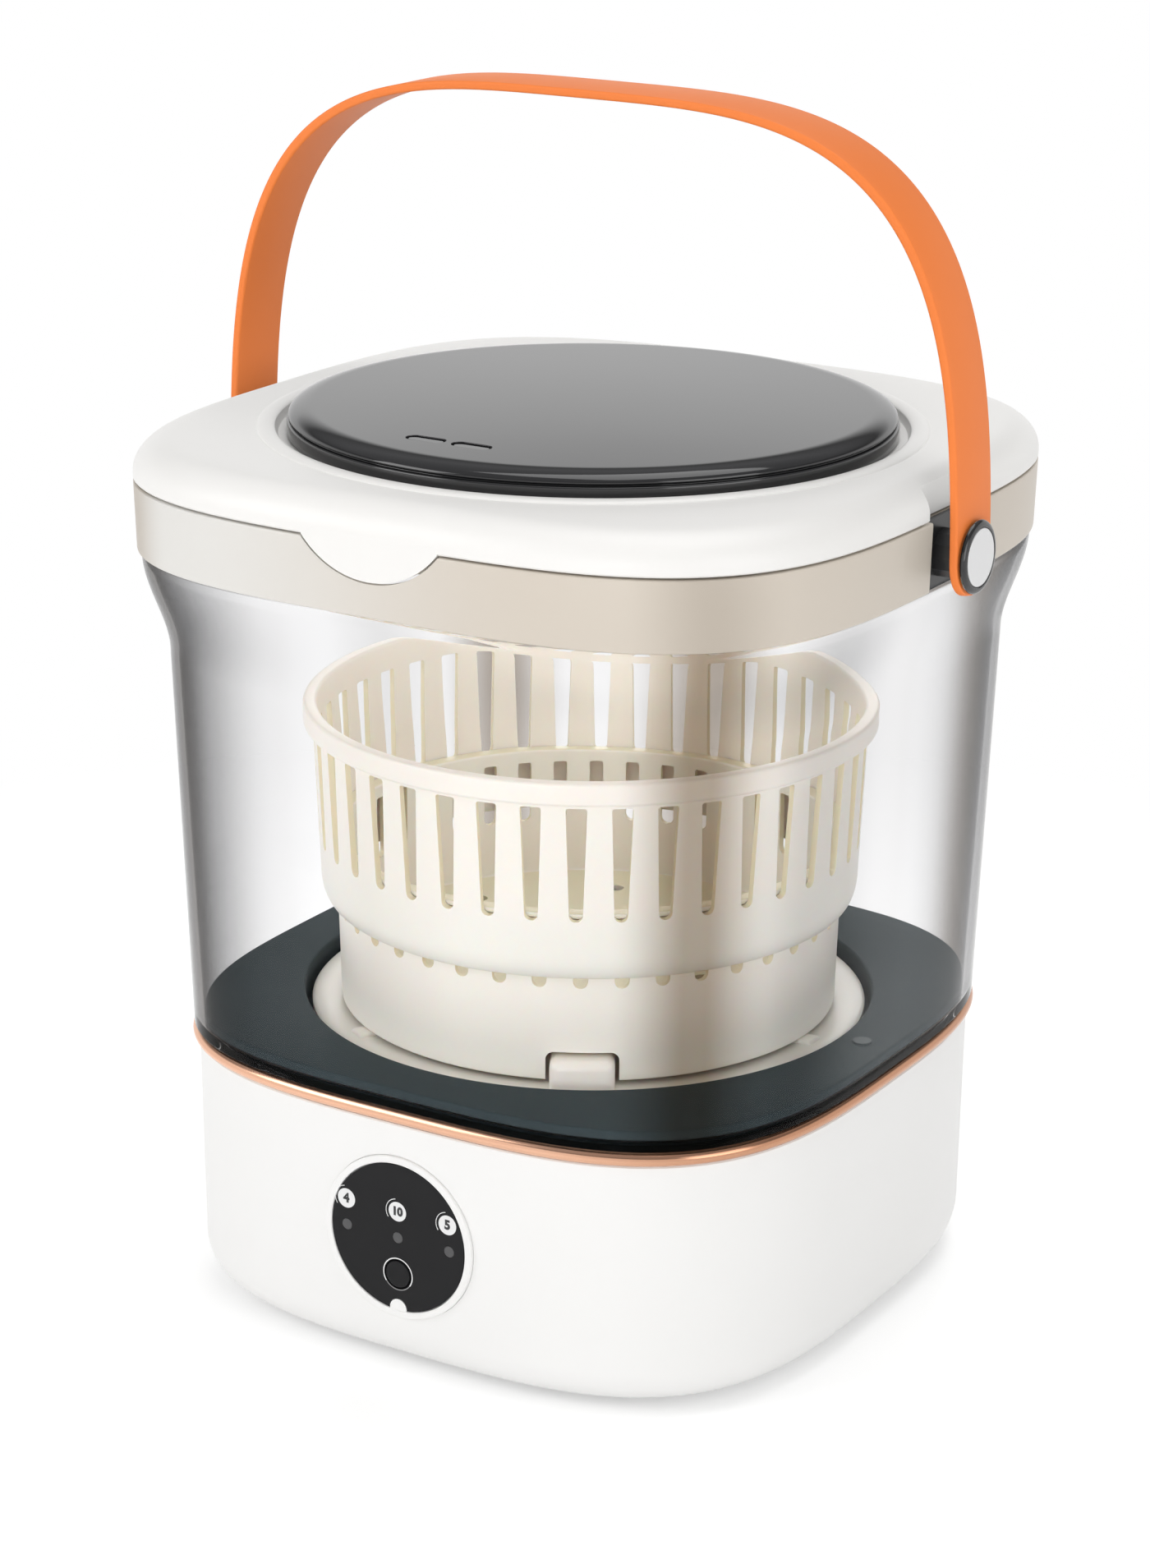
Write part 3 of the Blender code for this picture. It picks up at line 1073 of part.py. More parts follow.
# Pivot mounts, pins and two-part caps, one set at each side
strap_outer_x = arch_point(0, first).x
strap_inner_x = arch_point(STRAP_THICK, first).x
mount_x = pocket_floor_x + SEAT_GAP
plate_x = mount_x + MOUNT_PLATE_THICK
boss_x = strap_inner_x - SLIDE_GAP
pin_x = boss_x - PIN_LENGTH_IN_MOUNT
ring_x = strap_outer_x + SEAT_GAP
disc_x = ring_x + CAP_WEB + SEAT_GAP
cap_top = ring_x + CAP_HEIGHT
for name, side in (("left", -1), ("right", 1)):
    outward = Matrix.Translation((0, 0, PIVOT_Z)) @ Matrix.Rotation(math.radians(90 * side), 4, "Y")
    mount = bmesh.new()
    plate_half = POCKET_WIDTH / 2 - SEAT_GAP
    ends = sorted((side * mount_x, side * plate_x))
    low = (ends[0], -plate_half, BAND_BOTTOM_Z)
    add_box(mount, low, (ends[1], plate_half, BAND_TOP_Z - SEAT_GAP))
    pivot = Vector((side * mount_x, 0, PIVOT_Z))
    pivot_mount = make_object(f"pivot_mount_{name}", mount, BLACK, pivot)
    boss = bmesh.new()
    profile = [(MOUNT_BOSS_RADIUS, mount_x + MOUNT_PLATE_THICK / 2), (MOUNT_BOSS_RADIUS, boss_x)]
    add_turned(boss, profile, facets=SMALL_FACETS, matrix=outward)
    combine(pivot_mount, "UNION", boss, f"mount_boss_{name}")
    bore = bmesh.new()
    profile = [(PIN_RADIUS + SEAT_GAP, pin_x - SEAT_GAP), (PIN_RADIUS + SEAT_GAP, boss_x + OVERRUN)]
    add_turned(bore, profile, facets=SMALL_FACETS, matrix=outward)
    combine(pivot_mount, "DIFFERENCE", bore, f"mount_bore_{name}")
    profile = [(PIN_RADIUS, pin_x), (PIN_RADIUS, ring_x + CAP_WEB)]
    turned_object(f"pivot_pin_{name}", profile, STEEL, facets=SMALL_FACETS, matrix=outward, at=pivot)
    bore_radius = PIN_RADIUS + SEAT_GAP
    profile = [
        (bore_radius, ring_x),
        (CAP_RADIUS, ring_x),
        (CAP_RADIUS, cap_top - CAP_EDGE),
        (CAP_RADIUS - CAP_EDGE, cap_top),
        (CAP_RADIUS - CAP_RIM, cap_top),
        (CAP_RADIUS - CAP_RIM, ring_x + CAP_WEB),
        (bore_radius, ring_x + CAP_WEB),
    ]
    options = {"closed": True, "facets": 2 * SMALL_FACETS, "matrix": outward, "at": pivot}
    turned_object(f"pivot_cap_ring_{name}", profile, BLACK, **options)
    disc_radius = CAP_RADIUS - CAP_RIM - SEAT_GAP
    profile = [
        (disc_radius, disc_x),
        (disc_radius, cap_top - CAP_EDGE),
        (disc_radius - CAP_EDGE, cap_top),
        (disc_radius / 2, cap_top + DISC_CROWN),
    ]
    options["closed"] = False
    turned_object(f"pivot_cap_disc_{name}", profile, SILVER, **options)

# Pulsator: a sagging dish with a centre cone, three tall dogs and three low vanes
dish_under = DISH_Z - DISH_THICK
hub_low = WELL_Z + HUB_COLLAR_HEIGHT + SLIDE_GAP
shaft_top = CONE_TOP_Z - SHAFT_TOP_DROP
bolt_bore = BOLT_SHANK_RADIUS + SEAT_GAP
middle_radius = (CONE_RADIUS + DISH_RADIUS) / 2
pulsator_profile = [
    (bolt_bore, CONE_TOP_Z),
    (CONE_TOP_RADIUS, CONE_TOP_Z),
    (CONE_RADIUS, DISH_Z),
    (middle_radius, DISH_Z + DISH_SAG / 4),
    (DISH_RADIUS - DISH_THICK, DISH_RIM_Z),
    (DISH_RADIUS, DISH_RIM_Z),
    (DISH_RADIUS, DISH_RIM_Z - DISH_LIP),
    (DISH_RADIUS - DISH_THICK, DISH_RIM_Z - DISH_LIP),
    (DISH_RADIUS - DISH_THICK, DISH_RIM_Z - DISH_THICK),
    (middle_radius, dish_under + DISH_SAG / 4),
    (CONE_RADIUS, dish_under),
    (CONE_TOP_RADIUS, shaft_top),
    (HUB_COLLAR_RADIUS, shaft_top),
    (HUB_COLLAR_RADIUS, hub_low),
    (SHAFT_BORE, hub_low),
    (SHAFT_BORE, shaft_top + SEAT_GAP),
    (bolt_bore, shaft_top + SEAT_GAP),
]
pulsator = turned_object("pulsator", pulsator_profile, CREAM, closed=True)
blocks = bmesh.new()
for number in range(DOG_COUNT):
    turn = 360 * number / DOG_COUNT
    low = (DOG_INNER_RADIUS, -DOG_WIDTH / 2, DISH_Z)
    high = (DOG_OUTER_RADIUS, DOG_WIDTH / 2, DISH_RIM_Z + DOG_HEIGHT)
    add_soft_box(blocks, low, high, DOG_EDGE, spun(DOG_ANGLE_DEG + turn), square_foot=True)
    low = (CONE_TOP_RADIUS + CONE_RADIUS / 2, -VANE_WIDTH / 2, DISH_Z - DISH_THICK / 2)
    high = (VANE_OUTER_RADIUS, VANE_WIDTH / 2, DISH_Z + VANE_HEIGHT)
    add_soft_box(blocks, low, high, VANE_EDGE, spun(turn), square_foot=True)
combine(pulsator, "UNION", blocks, "pulsator_blocks")
turned_object(
    "pulsator_bolt",
    [
        (BOLT_SHANK_RADIUS, CONE_TOP_Z + SEAT_GAP - BOLT_LENGTH),
        (BOLT_SHANK_RADIUS, CONE_TOP_Z + SEAT_GAP),
        (BOLT_HEAD_RADIUS, CONE_TOP_Z + SEAT_GAP),
        (BOLT_HEAD_RADIUS, CONE_TOP_Z + SEAT_GAP + BOLT_HEAD_HEIGHT),
    ],
    STEEL,
    facets=SMALL_FACETS,
)

# Shaft line: seal, two bearings kept apart by a spacer, motor plate, can and rotor
can_flange_top = mount_top - MOUNT_THICK - SEAT_GAP
can_bottom = COVER_TOP_Z + CAN_ABOVE_COVER
can_height = can_flange_top - can_bottom
can_floor = can_bottom + CAN_WALL
turned_object(
    "drive_shaft",
    [
        (SHAFT_RADIUS, can_floor + SEAT_GAP),
        (SHAFT_RADIUS, shaft_top),
        (bolt_bore, shaft_top),
        (bolt_bore, CONE_TOP_Z - BOLT_LENGTH - OVERRUN),
    ],
    STEEL,
    facets=SMALL_FACETS,
)


def bearing_profile(top):
    """Outer and inner race with a recessed shield between them, above and below."""
    outer_race = BEARING_RADIUS - BEARING_RACE
    inner_race = SHAFT_BORE + BEARING_RACE / 2
    foot = top - BEARING_WIDTH
    points = [(SHAFT_BORE, top), (SHAFT_BORE, foot), (inner_race, foot)]
    points += [(inner_race, foot + BEARING_SHIELD_DROP), (outer_race, foot + BEARING_SHIELD_DROP)]
    points += [(outer_race, foot), (BEARING_RADIUS, foot), (BEARING_RADIUS, top), (outer_race, top)]
    points += [(outer_race, top - BEARING_SHIELD_DROP), (inner_race, top - BEARING_SHIELD_DROP)]
    return points + [(inner_race, top)]


seal_top = web_bottom - SEAT_GAP
seal_low = seal_top - SHAFT_SEAL_HEIGHT
upper_top = seal_low - SEAT_GAP
lower_top = HUB_BOTTOM_Z + BEARING_WIDTH
spacer_low = lower_top + SEAT_GAP
spacer_top = upper_top - BEARING_WIDTH - SEAT_GAP
on_axis = {"closed": True, "facets": SMALL_FACETS}
turned_object("shaft_seal", sleeve(SHAFT_BORE, BEARING_RADIUS, seal_low, seal_top), RUBBER, **on_axis)
turned_object("bearing_upper", bearing_profile(upper_top), STEEL, **on_axis)
spacer = sleeve(BEARING_RADIUS - SPACER_WALL, BEARING_RADIUS, spacer_low, spacer_top)
turned_object("bearing_spacer", spacer, STEEL, **on_axis)
turned_object("bearing_lower", bearing_profile(lower_top), STEEL, **on_axis)
motor_mount = turned_object(
    "motor_mount",
    sleeve(SHAFT_RADIUS + SLIDE_GAP, MOUNT_RADIUS, mount_top - MOUNT_THICK, mount_top),
    STEEL,
    closed=True,
)
can_profile = [
    (CAN_RADIUS, can_bottom),
    (CAN_RADIUS, can_flange_top - CAN_FLANGE_THICK),
    (CAN_RADIUS + CAN_FLANGE, can_flange_top - CAN_FLANGE_THICK),
    (CAN_RADIUS + CAN_FLANGE, can_flange_top),
    (CAN_RADIUS - CAN_WALL, can_flange_top),
    (CAN_RADIUS - CAN_WALL, can_floor),
]
motor_can = turned_object("motor_can", can_profile, STEEL)
plate_holes = bmesh.new()
for sx, sy in CORNERS:
    bore = [(screw_bore, can_flange_top - CAN_FLANGE_THICK - OVERRUN), (screw_bore, mount_top + OVERRUN)]
    shift = Matrix.Translation((sx * POST_OFFSET, sy * POST_OFFSET, 0))
    add_turned(plate_holes, bore, facets=SCREW_FACETS, matrix=shift)
plate_operand = combine(motor_mount, "DIFFERENCE", plate_holes, "motor_screw_holes")
cut_again = motor_can.modifiers.new("motor_screw_holes", "BOOLEAN")
cut_again.operation = "DIFFERENCE"
cut_again.solver = "EXACT"
cut_again.object = plate_operand
head_z = can_flange_top - CAN_FLANGE_THICK - SEAT_GAP - SCREW_HEAD_HEIGHT
for number, (sx, sy) in enumerate(CORNERS, 1):
    place = Vector((sx * POST_OFFSET, sy * POST_OFFSET, 0))
    profile = screw_profile(head_z)
    shift = Matrix.Translation(place)
    turned_object(f"motor_screw_{number}", profile, STEEL, facets=SCREW_FACETS, matrix=shift, at=place)
magnet_outer = CAN_RADIUS - CAN_WALL - SEAT_GAP
magnet_inner = magnet_outer - MAGNET_THICK
magnet_height = can_height - MAGNET_MARGIN
magnet_low = can_floor + (can_height - CAN_WALL - magnet_height) / 2
magnet = sleeve(magnet_inner, magnet_outer, magnet_low, magnet_low + magnet_height)
turned_object("motor_magnet_ring", magnet, BLACK, closed=True, facets=2 * SMALL_FACETS)
rotor_height = magnet_height - ROTOR_MARGIN
rotor_low = magnet_low + ROTOR_MARGIN / 2
rotor_outer = magnet_inner - ROTOR_GAP
rotor = sleeve(SHAFT_BORE, rotor_outer, rotor_low, rotor_low + rotor_height)
motor_rotor = turned_object("motor_rotor", rotor, STEEL, closed=True, facets=2 * SMALL_FACETS)
rotor_cuts = bmesh.new()
for number in range(ROTOR_SLOTS):
    low = (rotor_outer - ROTOR_SLOT_DEPTH, -ROTOR_SLOT_WIDTH / 2, rotor_low - OVERRUN)
    high = (rotor_outer + OVERRUN, ROTOR_SLOT_WIDTH / 2, rotor_low + rotor_height + OVERRUN)
    add_box(rotor_cuts, low, high, spun(360 * (number + 0.5) / ROTOR_SLOTS))
combine(motor_rotor, "DIFFERENCE", rotor_cuts, "rotor_slots")

# Spin basket: cup with notches over the dogs, and the ring that its flange rests in
FACE_OUTWARD = Matrix(((0, 0, 1, 0), (1, 0, 0, 0), (0, 1, 0, 0), (0, 0, 0, 1)))
facet_turn = spun(SLOT_PHASE_DEG - 180 / BASKET_FACETS)
cup_floor_z = CUP_BOTTOM_Z + CUP_FLOOR_RISE
cup_under = cup_floor_z - CUP_FLOOR_THICK
skirt_top = CUP_BOTTOM_Z + CUP_SKIRT_DEPTH
ledge_low = HEM_Z + RING_LEDGE_ABOVE_HEM
ledge_top = ledge_low + RING_LEDGE_THICK
flange_low = ledge_top + SEAT_GAP
flange_top = flange_low + CUP_FLANGE_THICK
hub_top = cup_floor_z + CUP_HUB_HEIGHT
cup_profile = [
    (CUP_HUB_TOP_RADIUS - CUP_FLOOR_THICK, hub_top - CUP_FLOOR_THICK),
    (CUP_HUB_RADIUS - CUP_FLOOR_THICK, cup_under),
    (CUP_SKIRT_RADIUS - BASKET_WALL, cup_under),
    (CUP_SKIRT_RADIUS - BASKET_WALL, CUP_BOTTOM_Z),
    (CUP_SKIRT_RADIUS, CUP_BOTTOM_Z),
    (CUP_SKIRT_RADIUS, skirt_top),
    (CUP_RADIUS, skirt_top + CUP_RADIUS - CUP_SKIRT_RADIUS),
    (CUP_RADIUS, flange_low),
    (CUP_FLANGE_RADIUS, flange_low),
    (CUP_FLANGE_RADIUS, flange_top),
    (CUP_RADIUS - BASKET_WALL, flange_top),
    (CUP_RADIUS - BASKET_WALL, cup_floor_z),
    (CUP_HUB_RADIUS, cup_floor_z),
    (CUP_HUB_TOP_RADIUS, hub_top),
]
in_basket = {"facets": BASKET_FACETS, "matrix": facet_turn}
basket_cup = turned_object("basket_cup", cup_profile, CREAM, **in_basket)


def slot_outline(foot_width, top_width, low, high):
    """A slot with a round foot and a square top, narrower at the foot."""
    radius = foot_width / 2
    foot = arc((0, low + radius), radius, radius, -180, 0, SLOT_FOOT_STEPS)
    return foot + [(top_width / 2, high), (-top_width / 2, high)]


cup_cuts = bmesh.new()
slot_foot = HEM_Z - CUP_SLOT_BELOW_HEM
slot = slot_outline(CUP_SLOT_WIDTH, CUP_SLOT_WIDTH, slot_foot, flange_low - CUP_SLOT_BELOW_FLANGE)
for number in range(SLOT_COUNT):
    turn = spun(CUP_SLOT_PHASE_DEG + 360 * number / SLOT_COUNT)
    add_prism(cup_cuts, slot, CUP_RADIUS - 2 * BASKET_WALL, CUP_RADIUS + OVERRUN, turn @ FACE_OUTWARD)
combine(basket_cup, "DIFFERENCE", cup_cuts, "cup_slots")
cup_cuts = bmesh.new()
notch_top = DISH_RIM_Z + DOG_HEIGHT + NOTCH_ABOVE_DOG
for number in range(DOG_COUNT):
    turn = spun(DOG_ANGLE_DEG + 360 * number / DOG_COUNT)
    half = NOTCH_WIDTH / 2
    corner = notch_top - NOTCH_CORNER
    notch = arc((half - NOTCH_CORNER, corner), NOTCH_CORNER, NOTCH_CORNER, 0, 90, SLOT_FOOT_STEPS)
    notch += arc((NOTCH_CORNER - half, corner), NOTCH_CORNER, NOTCH_CORNER, 90, 180, SLOT_FOOT_STEPS)
    notch += [(-half, CUP_BOTTOM_Z - OVERRUN), (half, CUP_BOTTOM_Z - OVERRUN)]
    add_prism(cup_cuts, notch, DOG_INNER_RADIUS - OVERRUN, CUP_RADIUS + OVERRUN, turn @ FACE_OUTWARD)
for ring in range(CUP_HOLE_RINGS):
    for number in range(CUP_HOLES):
        turn = spun(360 * (number + ring / 2) / CUP_HOLES)
        radius = CUP_HOLE_FIRST_RADIUS + ring * CUP_HOLE_PITCH
        hole = [(CUP_HOLE_RADIUS, cup_under - OVERRUN), (CUP_HOLE_RADIUS, cup_floor_z + OVERRUN)]
        shift = turn @ Matrix.Translation((radius, 0, 0))
        add_turned(cup_cuts, hole, facets=SCREW_FACETS, matrix=shift)
combine(basket_cup, "DIFFERENCE", cup_cuts, "cup_notches")
rim_under = BASKET_TOP_Z - RING_RIM_HEIGHT
hem_run = RING_LOW_RADIUS - RING_HEM_RADIUS
hem = arc((RING_HEM_RADIUS, HEM_Z + RING_HEM_RISE), hem_run, RING_HEM_RISE, -90, 0, RING_HEM_STEPS)
hem_inside = [(half - BASKET_WALL, z) for half, z in reversed(hem)]
ring_profile = hem + [
    (RING_TOP_RADIUS, rim_under),
    (RING_RIM_RADIUS - RING_RIM_EDGE, rim_under),
    (RING_RIM_RADIUS, rim_under + RING_RIM_EDGE),
    (RING_RIM_RADIUS, BASKET_TOP_Z - RING_RIM_EDGE),
    (RING_RIM_RADIUS - RING_RIM_EDGE, BASKET_TOP_Z),
    (RING_RIM_RADIUS - RING_RIM_THICK, BASKET_TOP_Z),
    (RING_TOP_RADIUS - BASKET_WALL, rim_under),
    (RING_LOW_RADIUS - BASKET_WALL, ledge_top),
    (CUP_RADIUS + SLIDE_GAP, ledge_top),
    (CUP_RADIUS + SLIDE_GAP, ledge_low),
    (RING_LOW_RADIUS - BASKET_WALL, ledge_low),
]
basket_ring = turned_object("basket_ring", ring_profile + hem_inside, CREAM, closed=True, **in_basket)
ring_cuts = bmesh.new()
slot = slot_outline(SLOT_FOOT_WIDTH, SLOT_TOP_WIDTH, HEM_Z + SLOT_ABOVE_HEM, rim_under - SLOT_BELOW_RIM)
for number in range(SLOT_COUNT):
    turn = spun(SLOT_PHASE_DEG + 360 * number / SLOT_COUNT)
    slot_near = RING_LOW_RADIUS - 2 * BASKET_WALL
    add_prism(ring_cuts, slot, slot_near, RING_TOP_RADIUS + OVERRUN, turn @ FACE_OUTWARD)
combine(basket_ring, "DIFFERENCE", ring_cuts, "ring_slots")

# Control panel: white bezel, dark disc, one button, three lenses, board with its switch
web_front = -(BEZEL_DEPTH - SEAT_GAP - BEZEL_WEB)
tube_end = -BEZEL_DEPTH - BEZEL_TUBE_LENGTH
tube_inside = BEZEL_TUBE_RADIUS - BEZEL_TUBE_WALL
bezel_inside = BEZEL_RADIUS - BEZEL_LIP
glass_back = web_front + SEAT_GAP
bezel_profile = [
    (tube_inside, tube_end),
    (BEZEL_TUBE_RADIUS, tube_end),
    (BEZEL_TUBE_RADIUS, -BEZEL_DEPTH),
    (BEZEL_RADIUS, -BEZEL_DEPTH),
    (BEZEL_RADIUS, -BEZEL_EDGE),
    (BEZEL_RADIUS - BEZEL_EDGE, 0),
    (bezel_inside, 0),
    (bezel_inside, web_front),
    (tube_inside, web_front),
]
panel_at = Vector((0, PANEL_FACE_Y, PANEL_Z))
on_panel = {"matrix": panel_centre, "at": panel_at}
panel_bezel = turned_object("panel_bezel", bezel_profile, WHITE, closed=True, **on_panel)
thumb_at = panel_centre @ Matrix.Translation((0, BEZEL_THUMB_INSET - bezel_inside, 0))
thumb = bmesh.new()
thumb_profile = [(BEZEL_THUMB_RADIUS, web_front - BEZEL_WEB / 2), (BEZEL_THUMB_RADIUS, -GLASS_DROP)]
add_turned(thumb, thumb_profile, facets=SMALL_FACETS, matrix=thumb_at)
combine(panel_bezel, "UNION", thumb, "bezel_thumb_notch")
glass_profile = [(bezel_inside - SEAT_GAP, glass_back), (bezel_inside - SEAT_GAP, -GLASS_DROP)]
panel_glass = turned_object("panel_glass", glass_profile, BLACK, **on_panel)
glass_cuts = bmesh.new()
button_at = panel_centre @ Matrix.Translation((0, -BUTTON_DROP, 0))
lens_at = [panel_centre @ Matrix.Translation((x, 0, 0)) for x in (-LENS_PITCH, 0, LENS_PITCH)]
for radius, matrix in [(BEZEL_THUMB_RADIUS + SEAT_GAP, thumb_at), (BUTTON_RADIUS + SLIDE_GAP, button_at)]:
    bore = [(radius, glass_back - OVERRUN), (radius, OVERRUN)]
    add_turned(glass_cuts, bore, facets=SMALL_FACETS, matrix=matrix)
for matrix in lens_at:
    bore = [(LENS_RADIUS + SEAT_GAP, glass_back - OVERRUN), (LENS_RADIUS + SEAT_GAP, OVERRUN)]
    add_turned(glass_cuts, bore, facets=SMALL_FACETS, matrix=matrix)
combine(panel_glass, "DIFFERENCE", glass_cuts, "panel_holes")
lens_back = glass_back - SEAT_GAP
for number, matrix in enumerate(lens_at, 1):
    lens = [
        (LENS_RADIUS + LENS_SKIRT, lens_back - LENS_SKIRT),
        (LENS_RADIUS + LENS_SKIRT, lens_back),
        (LENS_RADIUS, lens_back),
        (LENS_RADIUS, -GLASS_DROP),
    ]
    place = matrix.to_translation()
    turned_object(f"indicator_lens_{number}", lens, LENS, facets=SMALL_FACETS, matrix=matrix, at=place)
flange_back = lens_back - BUTTON_FLANGE_THICK
stem_end = flange_back - BUTTON_STEM_LENGTH
button = [
    (BUTTON_STEM_RADIUS, stem_end),
    (BUTTON_STEM_RADIUS, flange_back),
    (BUTTON_RADIUS + BUTTON_FLANGE, flange_back),
    (BUTTON_RADIUS + BUTTON_FLANGE, lens_back),
    (BUTTON_RADIUS, lens_back),
    (BUTTON_RADIUS, BUTTON_PROUD - GLASS_DROP - BEZEL_EDGE / 2),
    (BUTTON_RADIUS - BEZEL_EDGE / 2, BUTTON_PROUD - GLASS_DROP),
]
place = button_at.to_translation()
turned_object("mode_button", button, BLACK, facets=2 * SMALL_FACETS, matrix=button_at, at=place)
board_face = stem_end - BUTTON_TRAVEL - SEAT_GAP - SWITCH_HEIGHT
board = [(tube_inside - SEAT_GAP, board_face - PANEL_BOARD_THICK), (tube_inside - SEAT_GAP, board_face)]
panel_board = turned_object("panel_board", board, BOARD, **on_panel)
switch = bmesh.new()
low = (-SWITCH_SIZE / 2, -SWITCH_SIZE / 2, board_face - PANEL_BOARD_THICK / 2)
add_box(switch, low, (SWITCH_SIZE / 2, SWITCH_SIZE / 2, board_face + SWITCH_HEIGHT), button_at)
combine(panel_board, "UNION", switch, "button_switch")

# Power board with its choke and connector, on the posts of the bottom cover
board_low = COVER_TOP_Z + BOARD_POST_HEIGHT + SEAT_GAP
board_high = board_low + BOARD_THICK
centre = Matrix.Translation((BOARD_CENTRE_X, BOARD_CENTRE_Y, 0))
plate = bmesh.new()
low = (-BOARD_LENGTH / 2, -BOARD_WIDTH / 2, board_low)
add_box(plate, low, (BOARD_LENGTH / 2, BOARD_WIDTH / 2, board_high), centre)
board_place = centre.to_translation() + Vector((0, 0, board_low))
power_board = make_object("power_board", plate, BOARD, board_place)
fitted = bmesh.new()
choke_at = centre @ Matrix.Translation((BOARD_WIDTH / 4, 0, 0))
choke = [(CHOKE_RADIUS, board_low + BOARD_THICK / 2), (CHOKE_RADIUS, board_high + CHOKE_HEIGHT)]
add_turned(fitted, choke, facets=SMALL_FACETS, matrix=choke_at)
low = (-BOARD_LENGTH / 2 + BOARD_POST_INSET, -CHOKE_RADIUS, board_low + BOARD_THICK / 2)
add_box(fitted, low, (-BOARD_LENGTH / 4, CHOKE_RADIUS, board_high + CHOKE_RADIUS), centre)
combine(power_board, "UNION", fitted, "board_components")

# Inlet for the supply lead, in the back wall
face = SEAT_GAP + JACK_FLANGE_THICK
jack = [
    (JACK_RADIUS, SEAT_GAP - JACK_LENGTH),
    (JACK_RADIUS, SEAT_GAP),
    (JACK_RADIUS + JACK_FLANGE, SEAT_GAP),
    (JACK_RADIUS + JACK_FLANGE, face),
    (JACK_BORE, face),
    (JACK_BORE, face - JACK_BORE_DEPTH),
    (JACK_PIN_RADIUS, face - JACK_BORE_DEPTH),
    (JACK_PIN_RADIUS, face - JACK_FLANGE_THICK),
]
place = jack_face.to_translation()
turned_object("dc_jack", jack, BLACK, facets=SMALL_FACETS, matrix=jack_face, at=place)

# Drain: a pipe from the floor's socket, bent to leave through the back wall, and a plug
drain_end_y = base_half(drain_z) + DRAIN_PROUD


def pipe_rings(radius):
    """Rings along the pipe: down from the socket, round the bend, then to the back."""
    bend_z = drain_z + DRAIN_BEND
    stations = [(DRAIN_WELL_Y, WELL_UNDER_Z - SEAT_GAP, 0)]
    for step in range(DRAIN_BEND_STEPS + 1):
        angle = math.radians(90 * step / DRAIN_BEND_STEPS)
        y = DRAIN_WELL_Y + DRAIN_BEND * (1 - math.cos(angle))
        stations.append((y, bend_z - DRAIN_BEND * math.sin(angle), angle))
    stations.append((drain_end_y, drain_z, math.radians(90)))
    rings = []
    for y, z, angle in stations:
        place = Matrix.Translation((DRAIN_X, y, z)) @ Matrix.Rotation(angle, 4, "X")
        rings.append([place @ point for point in plan_ring(radius, 0, ROUND, SMALL_FACETS)])
    return rings


pipe = bmesh.new()
add_rings(pipe, pipe_rings(DRAIN_RADIUS) + list(reversed(pipe_rings(DRAIN_BORE))), closed=True)
make_object("drain_pipe", pipe, WHITE, (DRAIN_X, DRAIN_WELL_Y, drain_z))
plug_at = Matrix.Translation((DRAIN_X, drain_end_y, drain_z)) @ FACING_BACK
stem = DRAIN_BORE - SEAT_GAP
plug_face = SEAT_GAP + PLUG_FLANGE_THICK
plug = [
    (stem - PLUG_TAPER, -PLUG_STEM),
    (stem, 0),
    (stem, SEAT_GAP),
    (PLUG_FLANGE_RADIUS, SEAT_GAP),
    (PLUG_FLANGE_RADIUS, plug_face),
]
place = plug_at.to_translation()
drain_plug = turned_object("drain_plug", plug, RUBBER, facets=SMALL_FACETS, matrix=plug_at, at=place)
grip = bmesh.new()
low = (-PLUG_GRIP_WIDTH / 2, -PLUG_GRIP_THICK / 2, plug_face - PLUG_FLANGE_THICK / 2)
add_box(grip, low, (PLUG_GRIP_WIDTH / 2, PLUG_GRIP_THICK / 2, plug_face + PLUG_GRIP_LENGTH), plug_at)
combine(drain_plug, "UNION", grip, "plug_grip")
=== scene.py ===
# %% [markdown]
# # Portable washing machine
# A tabletop washer: a white motor base, a clear tub, a slotted spin basket, a lid with a
# glossy cover and an orange strap handle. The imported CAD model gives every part's place
# and the bodies that move. It could be rendered as it is, but its faces are coarse, so
# this script puts finer pieces in place of the visible nodes, inside the same box.

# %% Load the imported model
import math

import bmesh
import bpy
from mathutils import Matrix, Vector


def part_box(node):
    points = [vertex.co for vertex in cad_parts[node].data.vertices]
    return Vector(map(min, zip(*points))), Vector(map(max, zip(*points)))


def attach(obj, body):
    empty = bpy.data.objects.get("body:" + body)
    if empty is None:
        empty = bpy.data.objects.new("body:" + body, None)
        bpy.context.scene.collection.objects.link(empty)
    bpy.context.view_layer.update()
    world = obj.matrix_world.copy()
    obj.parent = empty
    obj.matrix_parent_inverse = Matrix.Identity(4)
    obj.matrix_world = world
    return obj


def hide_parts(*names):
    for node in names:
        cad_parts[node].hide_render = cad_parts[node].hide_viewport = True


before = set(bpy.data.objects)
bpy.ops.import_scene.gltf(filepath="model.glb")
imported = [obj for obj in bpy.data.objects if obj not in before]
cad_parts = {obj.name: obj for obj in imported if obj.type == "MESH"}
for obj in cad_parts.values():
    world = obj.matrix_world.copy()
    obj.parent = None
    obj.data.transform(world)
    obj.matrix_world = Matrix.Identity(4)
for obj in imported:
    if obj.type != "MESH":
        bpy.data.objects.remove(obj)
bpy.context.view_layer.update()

# %% [markdown]
# Seen from above, the machine is not a square with rounded corners: its sides bow a
# little. Lines joined by arcs would show a kink at each joint. A superellipse has none,
# and one number shapes it: 2 gives a circle, and a larger exponent a squarer outline.

# %% Plan outlines
BASE_PLAN, TUB_PLAN, RIM_PLAN, ROUND = 3.25, 3.31, 3.44, 2
FINE = 192


